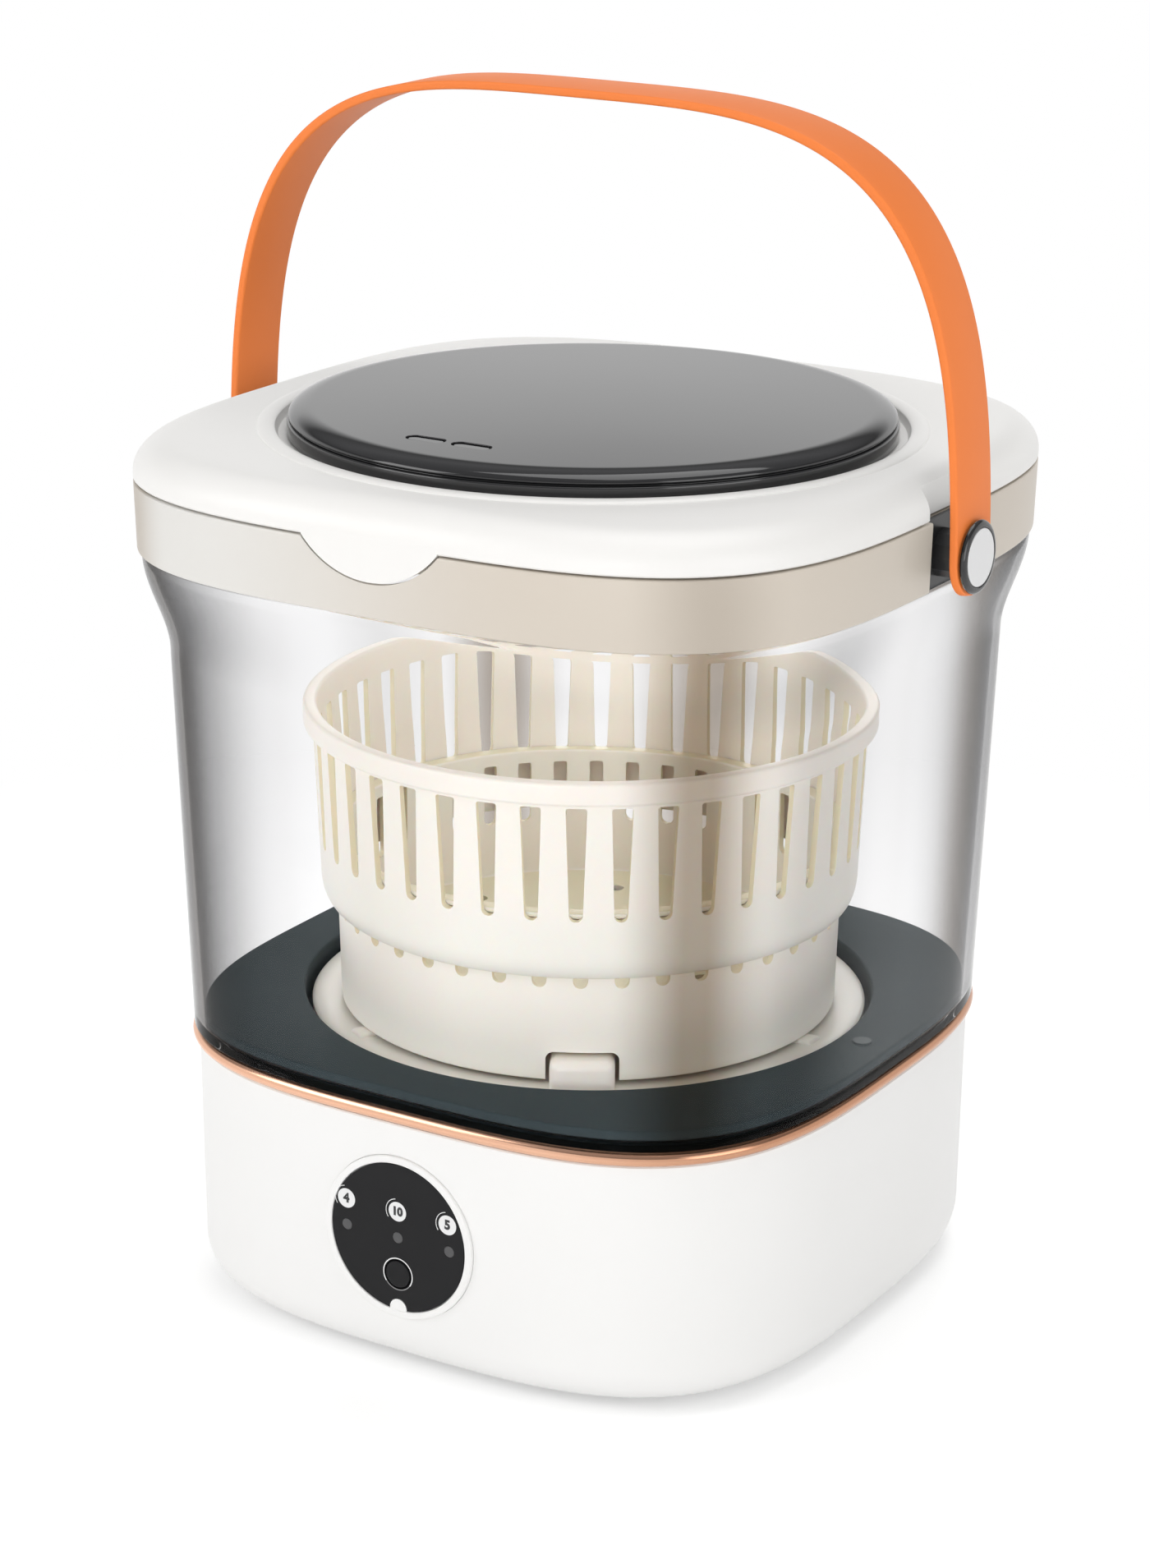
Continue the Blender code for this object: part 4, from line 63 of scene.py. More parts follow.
def plan_ring(half, z, exponent, segments):
    points = []
    for step in range(segments):
        angle = 2 * math.pi * step / segments
        across = math.copysign(abs(math.cos(angle)) ** (2 / exponent), math.cos(angle))
        along = math.copysign(abs(math.sin(angle)) ** (2 / exponent), math.sin(angle))
        points.append(Vector((half * across, half * along, z)))
    return points


print("points round an outline:", FINE)

# %% [markdown]
# The real parts are stacked: base, bead, tub, band, lid. Their levels could be typed in
# again. Here they are read from the boxes of the CAD nodes, so a piece can't drift away
# from the node that it stands for.

# %% Levels
GAP = 0.0003  # between pieces that only touch


def note(*parts):
    """Prints words and measures, to a tenth of a millimetre."""
    print(*(round(part, 4) if isinstance(part, float) else part for part in parts))


def levels(node):
    low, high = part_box(node)
    return low[2], high[2]


base_low, base_high = levels("base_housing")
trim_low, trim_high = levels("copper_trim_ring")
tub_low, tub_high = levels("clear_tub")
hub_low, floor_marker_top = levels("tub_floor")
band_low, band_high = levels("rim_band")
dish_low, dog_top = levels("pulsator")
cup_low, cup_high = levels("basket_cup")
hem_low, ring_high = levels("basket_ring")
lid_low, lid_high = levels("lid_frame")
dome_low, dome_high = levels("lid_dome")
pivot_z = band_low + 0.0114
note("band", band_low, band_high, "dome top", dome_high)

# %% [markdown]
# Most parts of the machine are turned or nearly so, and a turned part is known by its
# profile: a list of (half-width, height) points. Moulded plastic has no sharp corner,
# so one helper draws arcs and another rounds every corner of a finished profile. A bevel
# modifier could round them later, but on a profile the radius stays exact.

# %% Profiles


def arc(centre, run, rise, start, end, steps):
    points = []
    for step in range(steps + 1):
        angle = math.radians(start + (end - start) * step / steps)
        points.append((centre[0] + run * math.cos(angle), centre[1] + rise * math.sin(angle)))
    return points


def soften(profile, radius, closed=False, steps=3):
    """Rounds the corners of a profile with small curves."""
    result = []
    for index, point in enumerate(profile):
        if not closed and index in (0, len(profile) - 1):
            result.append(point)
            continue
        here = Vector(point[:2])
        before = Vector(profile[index - 1][:2]) - here
        after = Vector(profile[(index + 1) % len(profile)][:2]) - here
        shortest = min(before.length, after.length)
        if shortest < 1e-7 or before.angle(after) > math.radians(150):
            result.append(point)
            continue
        reach = min(radius, before.length * 0.42, after.length * 0.42)
        start = here + before.normalized() * reach
        end = here + after.normalized() * reach
        for step in range(steps + 1):
            share = step / steps
            spot = start * (1 - share) ** 2 + here * 2 * share * (1 - share) + end * share**2
            result.append((*spot, *point[2:]))
    return result


print("a quarter arc in 4 steps:", len(arc((0, 0), 1, 1, 0, 90, 4)), "points")

# %% [markdown]
# A profile becomes a solid by turning it round the Z axis. Blender's Screw modifier turns
# true circles only. Here each profile point becomes a whole plan outline, and faces join
# one outline to the next. A third number in a point gives it an outline of its own, so
# that one piece can be square outside and round inside. Two rotations lay a turned piece
# on its side, facing the front or the back.

# %% Turned pieces


def skin(bm, rings, closed):
    rows = [[bm.verts.new(point) for point in ring] for ring in rings]
    pairs = list(zip(rows, rows[1:]))
    if closed:
        pairs.append((rows[-1], rows[0]))
    for low, high in pairs:
        for step in range(len(low)):
            after = (step + 1) % len(low)
            bm.faces.new((low[step], low[after], high[after], high[step]))
    if not closed:
        bm.faces.new(list(reversed(rows[0])))
        bm.faces.new(rows[-1])


def turn(bm, profile, exponent=ROUND, closed=False, segments=FINE, matrix=None):
    rings = []
    for point in profile:
        own = point[2] if len(point) == 3 else exponent
        rings.append(plan_ring(point[0], point[1], own, segments))
    if matrix:
        rings = [[matrix @ point for point in ring] for ring in rings]
    skin(bm, rings, closed)


FACING_FRONT = Matrix.Rotation(math.radians(90), 4, "X")
FACING_BACK = Matrix.Rotation(math.radians(-90), 4, "X")
print("rotations to lay a piece on its side:", len((FACING_FRONT, FACING_BACK)))

# %% [markdown]
# Holes, pockets and joined blocks come from boolean modifiers. They are applied at once,
# because a piece that is finished mesh can be measured, exported and cut again. The last
# helper gives a piece its shading and material and the body it rides on, and hides the
# CAD nodes that it stands for.

# %% Objects and cuts


def new_object(name, bm):
    bmesh.ops.recalc_face_normals(bm, faces=bm.faces[:])
    mesh = bpy.data.meshes.new(name)
    bm.to_mesh(mesh)
    bm.free()
    obj = bpy.data.objects.new(name, mesh)
    bpy.context.scene.collection.objects.link(obj)
    return obj


def combine(obj, operation, bm):
    """Cuts or adds an operand for good, and removes the operand."""
    operand = new_object("operand", bm)
    modifier = obj.modifiers.new("combine", "BOOLEAN")
    modifier.operation = operation
    modifier.solver = "EXACT"
    modifier.object = operand
    graph = bpy.context.evaluated_depsgraph_get()
    mesh = bpy.data.meshes.new_from_object(obj.evaluated_get(graph))
    obj.modifiers.clear()
    old = obj.data
    obj.data = mesh
    bpy.data.meshes.remove(old)
    bpy.data.objects.remove(operand, do_unlink=True)


def turned_piece(name, profile, *options, **more):
    bm = bmesh.new()
    turn(bm, profile, *options, **more)
    return new_object(name, bm)


def soften_edges(obj, width, angle):
    modifier = obj.modifiers.new("soft_edges", "BEVEL")
    modifier.width = width
    modifier.segments = 2
    modifier.limit_method = "ANGLE"
    modifier.angle_limit = math.radians(angle)
    modifier.use_clamp_overlap = True
    modifier.harden_normals = True


def show(obj, material, body, *nodes, angle=35):
    """Finishes a piece. Edges steeper than the angle stay sharp in the shading."""
    obj.data.materials.clear()
    obj.data.materials.append(material)
    obj.data.shade_smooth()
    obj.data.set_sharp_from_angle(angle=math.radians(angle))
    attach(obj, body)
    if nodes:
        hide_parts(*nodes)
    return obj


# %% [markdown]
# A finish is a small network of shader nodes. They could be placed and joined by hand in
# the editor. Written as nested calls they are shorter and stay readable: a node's input
# takes a number, a colour, or the output of the call that makes the node before it.

# %% Node helpers


def feed(socket, value):
    """Links an output to a socket, or sets the socket's own number or colour."""
    if isinstance(value, bpy.types.NodeSocket):
        socket.id_data.links.new(value, socket)
    else:
        socket.default_value = value


def fill(node, *sources, **values):
    """Sets a node's inputs in their order, or its settings and inputs by name."""
    for key, value in values.items():
        if hasattr(node, key):
            setattr(node, key, value)
        else:
            feed(node.inputs[key.replace("_", " ")], value)
    for socket, source in zip(node.inputs, sources):
        feed(socket, source)
    return node


def add(tree, kind, *sources, **values):
    return fill(tree.nodes.new("ShaderNode" + kind), *sources, **values)


def maths(tree, operation, *sources, **values):
    return add(tree, "Math", *sources, operation=operation, **values).outputs[0]


def ramp(tree, *sources, kind="LINEAR"):
    """Maps a value from one range to another."""
    return add(tree, "MapRange", *sources, interpolation_type=kind).outputs[0]


def mix_colours(tree, mask, first, second):
    node = add(tree, "Mix", mask, data_type="RGBA")
    feed(node.inputs[6], first)
    feed(node.inputs[7], second)
    return node.outputs[2]


def new_group(name, takes, gives):
    """Makes a node group. A socket is named with its kind, or with its first number."""
    tree = bpy.data.node_groups.new(name, "ShaderNodeTree")
    for direction, rows in (("INPUT", takes), ("OUTPUT", gives)):
        for title, given in rows.items():
            kind = given if isinstance(given, str) else "Float"
            socket = tree.interface.new_socket(
                title, in_out=direction, socket_type="NodeSocket" + kind
            )
            if kind != given:
                socket.default_value = given
    start, end = tree.nodes.new("NodeGroupInput"), tree.nodes.new("NodeGroupOutput")
    return tree, start.outputs, end.inputs


print("node helpers:", ", ".join(tool.__name__ for tool in (add, maths, ramp, mix_colours)))

# %% [markdown]
# No moulded surface is one flat colour. It has a faint drift of tone, patches that are
# a little glossier, and a fine grain. An image could carry that, but it would need UVs.
# Noise in the object's own space needs none, so one node group makes all three for every
# plastic and metal here.

# %% Grain group


def build_grain_group():
    takes = {"Colour": "Color", "Tint": "Color", "Roughness": 0.4, "Spread": 0.06}
    takes.update({"Scale": 900.0, "Bump": 0.15})
    gives = {"Colour": "Color", "Roughness": "Float", "Normal": "Vector"}
    tree, given, out = new_group("moulded_grain", takes, gives)
    place = add(tree, "TexCoord").outputs["Object"]
    broad = add(tree, "TexNoise", Vector=place, Scale=14.0, Detail=3.0).outputs["Fac"]
    fine = add(tree, "TexNoise", Vector=place, Scale=given["Scale"], Detail=2.0).outputs["Fac"]
    low = maths(tree, "SUBTRACT", given["Roughness"], given["Spread"])
    high = maths(tree, "ADD", given["Roughness"], given["Spread"])
    bump = add(tree, "Bump", Strength=given["Bump"], Height=fine, Distance=0.00005)
    feed(out["Colour"], mix_colours(tree, broad, given["Colour"], given["Tint"]))
    feed(out["Roughness"], ramp(tree, broad, 0.0, 1.0, low, high))
    feed(out["Normal"], bump.outputs["Normal"])
    return tree


GRAIN = build_grain_group()
print("grain group nodes:", len(GRAIN.nodes))

# %% [markdown]
# A finish is the grain group in front of a Principled shader. Only what changes over the
# surface goes through the group. A plain value, such as Metallic, sits on the shader's
# own socket, where another program can read it.

# %% Plain finishes


def start_material(name):
    material = bpy.data.materials.new(name)
    material.use_nodes = True
    tree = material.node_tree
    return material, tree, tree.nodes["Principled BSDF"]


def plastic(name, colour, tint, roughness, spread=0.05, scale=900.0, bump=0.15, **shader):
    material, tree, principled = start_material(name)
    grain = add(
        tree, "Group", node_tree=GRAIN, Colour=(*colour, 1), Tint=(*tint, 1),
        Roughness=roughness, Spread=spread, Scale=scale, Bump=bump,
    ).outputs
    fill(
        principled, Base_Color=grain["Colour"], Roughness=grain["Roughness"],
        Normal=grain["Normal"], **shader,
    )
    return material


WHITE = plastic("white_shell", (0.90, 0.895, 0.885), (0.875, 0.87, 0.855), 0.34, bump=0.10)
GLOSS = plastic(
    "gloss_cover", (0.012, 0.012, 0.013), (0.016, 0.016, 0.017), 0.09,
    spread=0.02, scale=60.0, bump=0.02, IOR=1.6,
)
print("first finishes:", WHITE.name, GLOSS.name)

# %% [markdown]
# Some light and shade is painted into the colours: the band is painted paler at its left,
# the copper darker at its right, and the slot walls darker and yellower than the
# basket's face, as painted shade. Painting vertex colours would tie the tone to the mesh.
# Masks worked out from the place and the facing of a surface don't, so a second group
# gives one mask along X and one for the walls of slots.

# %% Place masks


def build_place_masks():
    takes = {"Start": -0.08, "End": 0.13, "Top": 0.2}
    gives = {"Along": "Float", "Slot Wall": "Float"}
    tree, given, out = new_group("place_masks", takes, gives)
    place = add(tree, "TexCoord").outputs
    x, y, z = add(tree, "SeparateXYZ", place["Object"]).outputs
    feed(out["Along"], ramp(tree, x, given["Start"], given["End"], kind="SMOOTHSTEP"))
    flat = add(tree, "VectorMath", place["Object"], (1.0, 1.0, 0.0), operation="MULTIPLY")
    radial = add(tree, "VectorMath", flat.outputs[0], operation="NORMALIZE").outputs[0]
    turned = add(tree, "VectorMath", radial, place["Normal"], operation="DOT_PRODUCT")
    wall = ramp(tree, maths(tree, "ABSOLUTE", turned.outputs["Value"]), 0.75, 0.35)
    below = maths(tree, "LESS_THAN", z, given["Top"])
    feed(out["Slot Wall"], maths(tree, "MULTIPLY", wall, below))
    return tree


MASKS = build_place_masks()


def retone(material, output, colour, group=MASKS, **limits):
    """Mixes a second colour into a material by one output of a mask group."""
    tree = material.node_tree
    base_colour = tree.nodes["Principled BSDF"].inputs["Base Color"]
    before = base_colour.links[0].from_socket
    mask = add(tree, "Group", node_tree=group, **limits).outputs[output]
    feed(base_colour, mix_colours(tree, mask, before, (*colour, 1)))
    return material


print("place mask nodes:", len(MASKS.nodes))

# %% [markdown]
# The clear tub looks grey where its corners turn away from the eye. That grey is painted
# as colour: partly for the longer path through the plastic, partly as painted shade for
# the darker surroundings that the turned wall shows. Real absorption would need a closed,
# thick volume and many samples. A mask of the four upright corners costs nothing and
# follows the outline. It has a broad form, a narrow one for painted shade at the corners,
# and faint upright streaks.

# %% Corner masks


# Masks for painted shade: grey at turned corners, and a narrow band at each corner.
def build_corner_group():
    gives = {"Corner": "Float", "Streak": "Float", "Edge": "Float"}
    tree, given, out = new_group("corner_smoke_and_painted_shade", {"Half Width": 0.13}, gives)
    half = given["Half Width"]
    place = add(tree, "TexCoord").outputs["Object"]
    x, y, z = add(tree, "SeparateXYZ", place).outputs
    product = maths(tree, "ABSOLUTE", maths(tree, "MULTIPLY", x, y))
    share = maths(tree, "DIVIDE", product, maths(tree, "MULTIPLY", half, half))
    feed(out["Corner"], ramp(tree, share, 0.10, 0.56, kind="SMOOTHSTEP"))
    stretch = add(tree, "VectorMath", place, (26.0, 26.0, 0.8), operation="MULTIPLY")
    noise = add(tree, "TexNoise", Vector=stretch.outputs[0], Scale=1.0, Detail=1.0)
    feed(out["Streak"], ramp(tree, noise.outputs["Fac"], 0.35, 0.65))
    wide, deep = maths(tree, "ABSOLUTE", x), maths(tree, "ABSOLUTE", y)
    apart = maths(tree, "ABSOLUTE", maths(tree, "SUBTRACT", wide, deep))
    near = maths(tree, "DIVIDE", apart, half)
    feed(out["Edge"], ramp(tree, near, 0.0, 0.30, 1.0, 0.0, kind="SMOOTHSTEP"))
    return tree


CORNERS = build_corner_group()
print("corner mask nodes:", len(CORNERS.nodes))

# %% [markdown]
# The base is one white moulding, open below, that narrows a little towards its foot. A
# bevelled cube would give it the wrong corners. It is turned from a wall profile on the
# base's own outline, and everything above takes its width from the copper bead.

# %% Widths
band_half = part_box("rim_band")[1][0]
foot_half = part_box("copper_trim_ring")[1][0] - 0.0005
waist_half = foot_half + 0.0043
shoulder_half = waist_half + 0.0080
base_top_half = foot_half - 0.0008
base_low_half = base_top_half - 0.0013


def base_half_at(z):
    share = (z - base_low) / (base_high - base_low)
    return base_low_half + (base_top_half - base_low_half) * share


note("half-widths: foot", foot_half, "band", band_half)

# %% Base shell
FOOT_RUN, FOOT_RISE, SHELL = 0.010, 0.0135, 0.003
skirt_edge = base_low_half - 0.0155
foot_centre = (base_low_half - FOOT_RUN, base_low + FOOT_RISE)
foot_curve = arc(foot_centre, FOOT_RUN, FOOT_RISE, -90, 0, 14)
profile = [(half + base_half_at(z) - base_low_half, z) for half, z in foot_curve]
profile += [(base_top_half - 0.0004, base_high - 0.0005), (base_top_half - 0.0009, base_high)]
profile += [(base_top_half - SHELL, base_high), (base_low_half - SHELL, base_low + FOOT_RISE)]
profile += [(skirt_edge, base_low + 0.0029), (skirt_edge, base_low)]
base = turned_piece("white_base", profile, BASE_PLAN, closed=True)
print("base shell faces:", len(base.data.polygons))

# %% [markdown]
# The base has three openings: a stepped seat for the round panel in front, and plain
# holes for the power inlet and the drain at the back. Each is a turned cutter laid on
# its side. Modelling the holes into the mesh by hand would spoil its even rows.

# %% Openings in the base
panel_low, panel_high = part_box("panel_bezel")
panel_y = panel_low[1]
panel_z = (panel_low[2] + panel_high[2]) / 2
bezel_radius = (panel_high[2] - panel_low[2]) / 2
tube_radius = bezel_radius - 0.0037
on_panel = Matrix.Translation((0, panel_y, panel_z)) @ FACING_FRONT
INLET_HOLE, DRAIN_HOLE, SEAT_DEPTH, TUBE_DEPTH = 0.0090, 0.0073, 0.003, 0.0122
cutters = bmesh.new()
seat, bore = bezel_radius + 0.0001, tube_radius + GAP
steps = [(seat, 2 * SEAT_DEPTH), (seat, -SEAT_DEPTH), (bore, -SEAT_DEPTH), (bore, -TUBE_DEPTH)]
turn(cutters, steps, segments=128, matrix=on_panel)
inlet_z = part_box("dc_jack")[1][2] - 0.0085
drain_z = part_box("drain_pipe")[0][2] + 0.0070
for node, radius, z in (("dc_jack", INLET_HOLE, inlet_z), ("drain_pipe", DRAIN_HOLE, drain_z)):
    low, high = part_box(node)
    at = Matrix.Translation(((low[0] + high[0]) / 2, base_half_at(z), z)) @ FACING_BACK
    turn(cutters, [(radius, -0.008), (radius, 0.004)], segments=48, matrix=at)
combine(base, "DIFFERENCE", cutters)
soften_edges(base, 0.0004, 50)
show(base, WHITE, "machine", "base_housing")
note("panel radius", bezel_radius, "at height", panel_z)

# %% [markdown]
# A copper-coloured bead hides the joint of base and tub. It is plated, so its shader is
# metallic, with little grain. A curve with a round bevel could make it, but the real one
# is a ring with a flat back, so it is turned from a half-round profile. A place mask
# paints its right side darker, as a painted reflection of darker surroundings.

# %% Copper bead
COPPER = plastic(
    "copper_trim", (0.86, 0.52, 0.36), (0.80, 0.45, 0.30), 0.20,
    spread=0.04, scale=300.0, bump=0.05, Metallic=1.0,
)
# Painted reflection: the copper is darker towards its right side.
retone(COPPER, "Along", (0.54, 0.28, 0.17), Start=0.05, End=0.125)
bead = (trim_high - trim_low) / 2
bead_back = foot_half - 0.0035
profile = arc((foot_half + 0.0005 - bead, trim_low + bead), bead, bead, -90, 90, 16)
profile += [(bead_back, trim_high), (bead_back, trim_low)]
ring = turned_piece("copper_bead", profile, TUB_PLAN, closed=True)
show(ring, COPPER, "machine", "copper_trim_ring")
note("bead radius", bead)

# %% [markdown]
# The tub is clear plastic. A plain glass shader would be too dark, as its shadows are
# black without caustics. So light from the lamps passes straight through, by a Light
# Path switch, and only what the camera, gloss and clear surfaces see is refracted. Seen
# square on, the wall is clear with painted warm shade at its corners. Turned away, its
# corners are painted smoky grey, partly for the thicker plastic, partly as painted shade.

# %% Clear finish


def mix_shaders(tree, mask, first, second):
    return add(tree, "MixShader", mask, first, second).outputs[0]


def clear_material(name, clear, smoke_and_painted_shade, shade, half_width):
    material, tree, principled = start_material(name)
    grain = add(
        tree, "Group", node_tree=GRAIN, Roughness=0.02, Spread=0.015, Scale=40.0, Bump=0.03
    ).outputs
    corner = add(tree, "Group", node_tree=CORNERS, Half_Width=half_width).outputs
    streaks = ramp(tree, corner["Streak"], 0.0, 1.0, 0.0, 0.07)
    tones = []
    for mask, dark in (("Edge", shade), ("Corner", smoke_and_painted_shade)):
        total = maths(tree, "ADD", corner[mask], streaks, use_clamp=True)
        tones.append(mix_colours(tree, total, (*clear, 1), (*dark, 1)))
    facing = add(tree, "LayerWeight", Blend=0.5).outputs["Facing"]
    colour = mix_colours(tree, ramp(tree, facing, 0.18, 0.78), *tones)
    fill(
        principled, Base_Color=colour, Roughness=grain["Roughness"], Normal=grain["Normal"],
        Transmission_Weight=1.0, IOR=1.08, Specular_IOR_Level=0.2,
    )
    path = add(tree, "LightPath").outputs
    passing = maths(tree, "MAXIMUM", path["Is Shadow Ray"], path["Is Diffuse Ray"])
    through = add(tree, "BsdfTransparent").outputs[0]
    surface = mix_shaders(tree, passing, principled.outputs[0], through)
    feed(tree.nodes["Material Output"].inputs["Surface"], surface)
    return material


# Painted shade: warm at the corners seen square on, grey at the corners turned away.
CLEAR = clear_material(
    "clear_wall", (0.985, 0.985, 0.99), (0.175, 0.175, 0.18), (0.43, 0.38, 0.33), 0.136
)
print("clear finish nodes:", len(CLEAR.node_tree.nodes))

# %% [markdown]
# The tub's wall leans out a little, then flares in a smooth curve under the band and
# ends in a straight neck. Two bevels would leave a visible facet there, so the flare is
# a half wave of a cosine, which starts and ends without a kink. Both faces of the wall
# are modelled, because clear plastic shows its thickness.

# %% Clear tub
WALL = 0.0025
neck_half = band_half - 0.0028
flare_low, flare_high = tub_low + 0.1394, tub_low + 0.1767


def tub_half_at(z):
    if z <= flare_low:
        return foot_half + (waist_half - foot_half) * (z - tub_low) / (flare_low - tub_low)
    share = min(1.0, (z - flare_low) / (flare_high - flare_low))
    return waist_half + (shoulder_half - waist_half) * (1 - math.cos(math.pi * share)) / 2


foot_edge = foot_half - 0.0105
neck_inside = neck_half - WALL
heights = [flare_low + (flare_high - flare_low) * step / 20 for step in range(21)]
profile = [(foot_edge, tub_low), (foot_half, tub_low)]
profile += [(tub_half_at(z), z) for z in heights]
profile += [(neck_half, flare_high), (neck_half, tub_high)]
profile += [(neck_inside, tub_high), (neck_inside, flare_high)]
profile += [(tub_half_at(z) - WALL, z) for z in reversed(heights) if z < flare_high - WALL]
profile += [(foot_half - WALL, tub_low + WALL), (foot_edge, tub_low + WALL)]
tub = turned_piece("clear_wall", soften(profile, 0.0008, closed=True), TUB_PLAN, closed=True)
note("tub from", tub_low, "to", tub_high, "flare from", flare_low)

# %% [markdown]
# The neck has a cut at each side for the handle's pivot. It could be left out of the
# mesh row by row, but a box as a cutter is simpler, and the same small helpers make the
# band's blocks and pockets and the cuts of the lid.

# %% Pivot cuts in the tub


def prism(bm, outline, low, high, matrix=None):
    matrix = matrix or Matrix()
    skin(bm, [[matrix @ Vector((x, y, z)) for x, y in outline] for z in (low, high)], False)


def box(bm, low, high):
    corners = [(low[0], low[1]), (high[0], low[1]), (high[0], high[1]), (low[0], high[1])]
    prism(bm, corners, low[2], high[2])


def side_boxes(inner, outer, half, low, high, maker=box, **more):
    """One box at the left and one at the right, from inner to outer."""
    bm = bmesh.new()
    for ends in ((-outer, -inner), (inner, outer)):
        maker(bm, (ends[0], -half, low), (ends[1], half, high), **more)
    return bm


CUT_HALF = 0.0188
cut_in, cut_out = band_half - 0.0078, band_half + 0.001
cutters = side_boxes(cut_in, cut_out, CUT_HALF, flare_high, tub_high + 0.002)
combine(tub, "DIFFERENCE", cutters)
show(tub, CLEAR, "machine", "clear_tub", angle=50)
note("pivot cuts are", 2 * CUT_HALF, "wide")

# %% [markdown]
# The tub's floor is a dark plate, square outside, with a round well for the pulsator and
# a hub for the shaft. A boolean of a square and a round piece would leave a rough edge.
# Turning it with an outline of its own at each point gives clean rows. A small raised
# dot sits on the plate at the right.

# %% Dark floor
SLATE = plastic(
    "slate_floor", (0.046, 0.062, 0.068), (0.038, 0.052, 0.058), 0.50,
    scale=500.0, bump=0.02, Specular_IOR_Level=0.03,
)
MARKER = plastic(
    "floor_marker_dot", (0.080, 0.098, 0.104), (0.066, 0.082, 0.088), 0.50,
    bump=0.05, Specular_IOR_Level=0.1,
)
plate_low, plate_top = tub_low + 0.0028, tub_low + 0.0064
plate = foot_half - WALL - GAP
well = foot_half - 0.0230
well_floor = plate_top - 0.011
under_well = well_floor - WALL
step_z = well_floor + 0.0015
HUB, HUB_STEP, SHAFT_HOLE = 0.0145, 0.0095, 0.0043
profile = [
    (plate, plate_low, TUB_PLAN), (plate, plate_top, TUB_PLAN), (well, plate_top, ROUND),
    (well, well_floor, ROUND), (HUB_STEP, well_floor, ROUND), (HUB_STEP, step_z, ROUND),
    (SHAFT_HOLE, step_z, ROUND), (SHAFT_HOLE, hub_low, ROUND), (HUB, hub_low, ROUND),
    (HUB, under_well, ROUND), (well + WALL, under_well, ROUND),
    (well + WALL, plate_low, ROUND),
]
profile = soften(profile, 0.0012, closed=True, steps=5)
plate_piece = turned_piece("slate_floor", profile, TUB_PLAN, closed=True)
show(plate_piece, SLATE, "machine", "tub_floor")

marker_at = Matrix.Translation((well + 0.0090, 0, plate_top - 0.0001))
rise = floor_marker_top - plate_top + 0.0001
DOT_RADIUS = 0.0032
profile = soften([(DOT_RADIUS, 0), (DOT_RADIUS, rise)], 0.0003)
marker = turned_piece("floor_marker", profile, segments=48, matrix=marker_at)
show(marker, MARKER, "machine")
note("well radius", well, "marker rise", rise)

# %% [markdown]
# The champagne band closes the mouth of the tub, and its solid inner blocks carry the
# pivots, in a pocket at each side. It could be one profile with the tub, but it is opaque
# and painted, so it is a piece of its own. Its paint has a trace of metal and a thin
# coat. Its colour also holds painted light and shade: paler at the left, where the light
# falls, darker and warmer at the right, and with painted shade at the corners.

# %% Band
BAND = plastic(
    "champagne_band", (0.765, 0.75, 0.72), (0.745, 0.73, 0.695), 0.42,
    scale=700.0, bump=0.06, Metallic=0.05, Coat_Weight=0.1,
)
# Painted light and shade: paler at the left, darker and warmer at the right.
retone(BAND, "Along", (0.645, 0.58, 0.50), Start=-0.08, End=0.065)
# Painted shade: the band is darker at its four upright corners.
retone(BAND, "Edge", (0.50, 0.44, 0.37), CORNERS, Half_Width=0.14)
SEAM = 0.0007
BLOCK_HALF, POCKET_HALF = 0.0185, 0.0128
mouth_half = band_half - 0.0072
inner_half = band_half - 0.0025
seam_z = band_high - SEAM + GAP
profile = [
    (inner_half, band_low), (band_half - 0.0006, band_low), (band_half, seam_z),
    (mouth_half, seam_z), (mouth_half, band_high - 0.003),
    (inner_half, band_high - 0.003),
]
band = turned_piece("champagne_band", soften(profile, 0.0007, closed=True), RIM_PLAN, closed=True)
block_top, pocket_ends = band_high - 0.0015, (band_low - 0.002, band_high + 0.002)
blocks = side_boxes(mouth_half, band_half - 0.00125, BLOCK_HALF, band_low, block_top)
combine(band, "UNION", blocks)
pockets = side_boxes(mouth_half + 0.0024, band_half + 0.003, POCKET_HALF, *pocket_ends)
combine(band, "DIFFERENCE", pockets)
note("band half", band_half, "pocket width", 2 * POCKET_HALF)

# %% [markdown]
# The lid's finger tab hangs in a half-round notch of the band. Two flat shapes would not
# follow the curved wall. So a thin turned wall is cut to the tab's outline by an
# intersection, once a seam wider as a cutter for the band, and once as the tab itself.

# %% Notch for the finger tab
TAB_HALF, TAB_DROP = 0.0265, 0.0127


def tab_slice(grow, low, high, inner, outer):
    """The part of a thin curved wall that lies inside the half-round outline."""
    radius = (TAB_HALF**2 + TAB_DROP**2) / (2 * TAB_DROP)
    spread = math.degrees(math.asin(TAB_HALF / radius))
    reach = radius + grow
    curve = arc((0, lid_low + radius), reach, reach, -90 - spread, -90 + spread, 32)
    curve += [(curve[-1][0], high), (curve[0][0], high)]
    wall = [(inner, high), (inner, low), (outer, low), (outer, high)]
    piece = turned_piece("tab_slice", wall, RIM_PLAN, closed=True)
    outline = bmesh.new()
    prism(outline, curve, band_half * 0.9, band_half + 0.004, FACING_FRONT)
    combine(piece, "INTERSECT", outline)
    result = bmesh.new()
    result.from_mesh(piece.data)
    bpy.data.objects.remove(piece, do_unlink=True)
    return result


notch = tab_slice(SEAM, lid_low - 0.004, band_high + 0.002, neck_half, band_half + 0.002)
combine(band, "DIFFERENCE", notch)
soften_edges(band, 0.0003, 50)
show(band, BAND, "machine", "rim_band")
print("tab is", 2 * TAB_HALF, "wide and hangs", TAB_DROP)

# %% [markdown]
# The lid is a white moulding with a crowned brim, a round ridge, and a well for the
# glossy cover. One profile holds all of it: its outer points use the rim's outline and
# its inner ones a circle. A skirt under the brim locates the lid in the band.

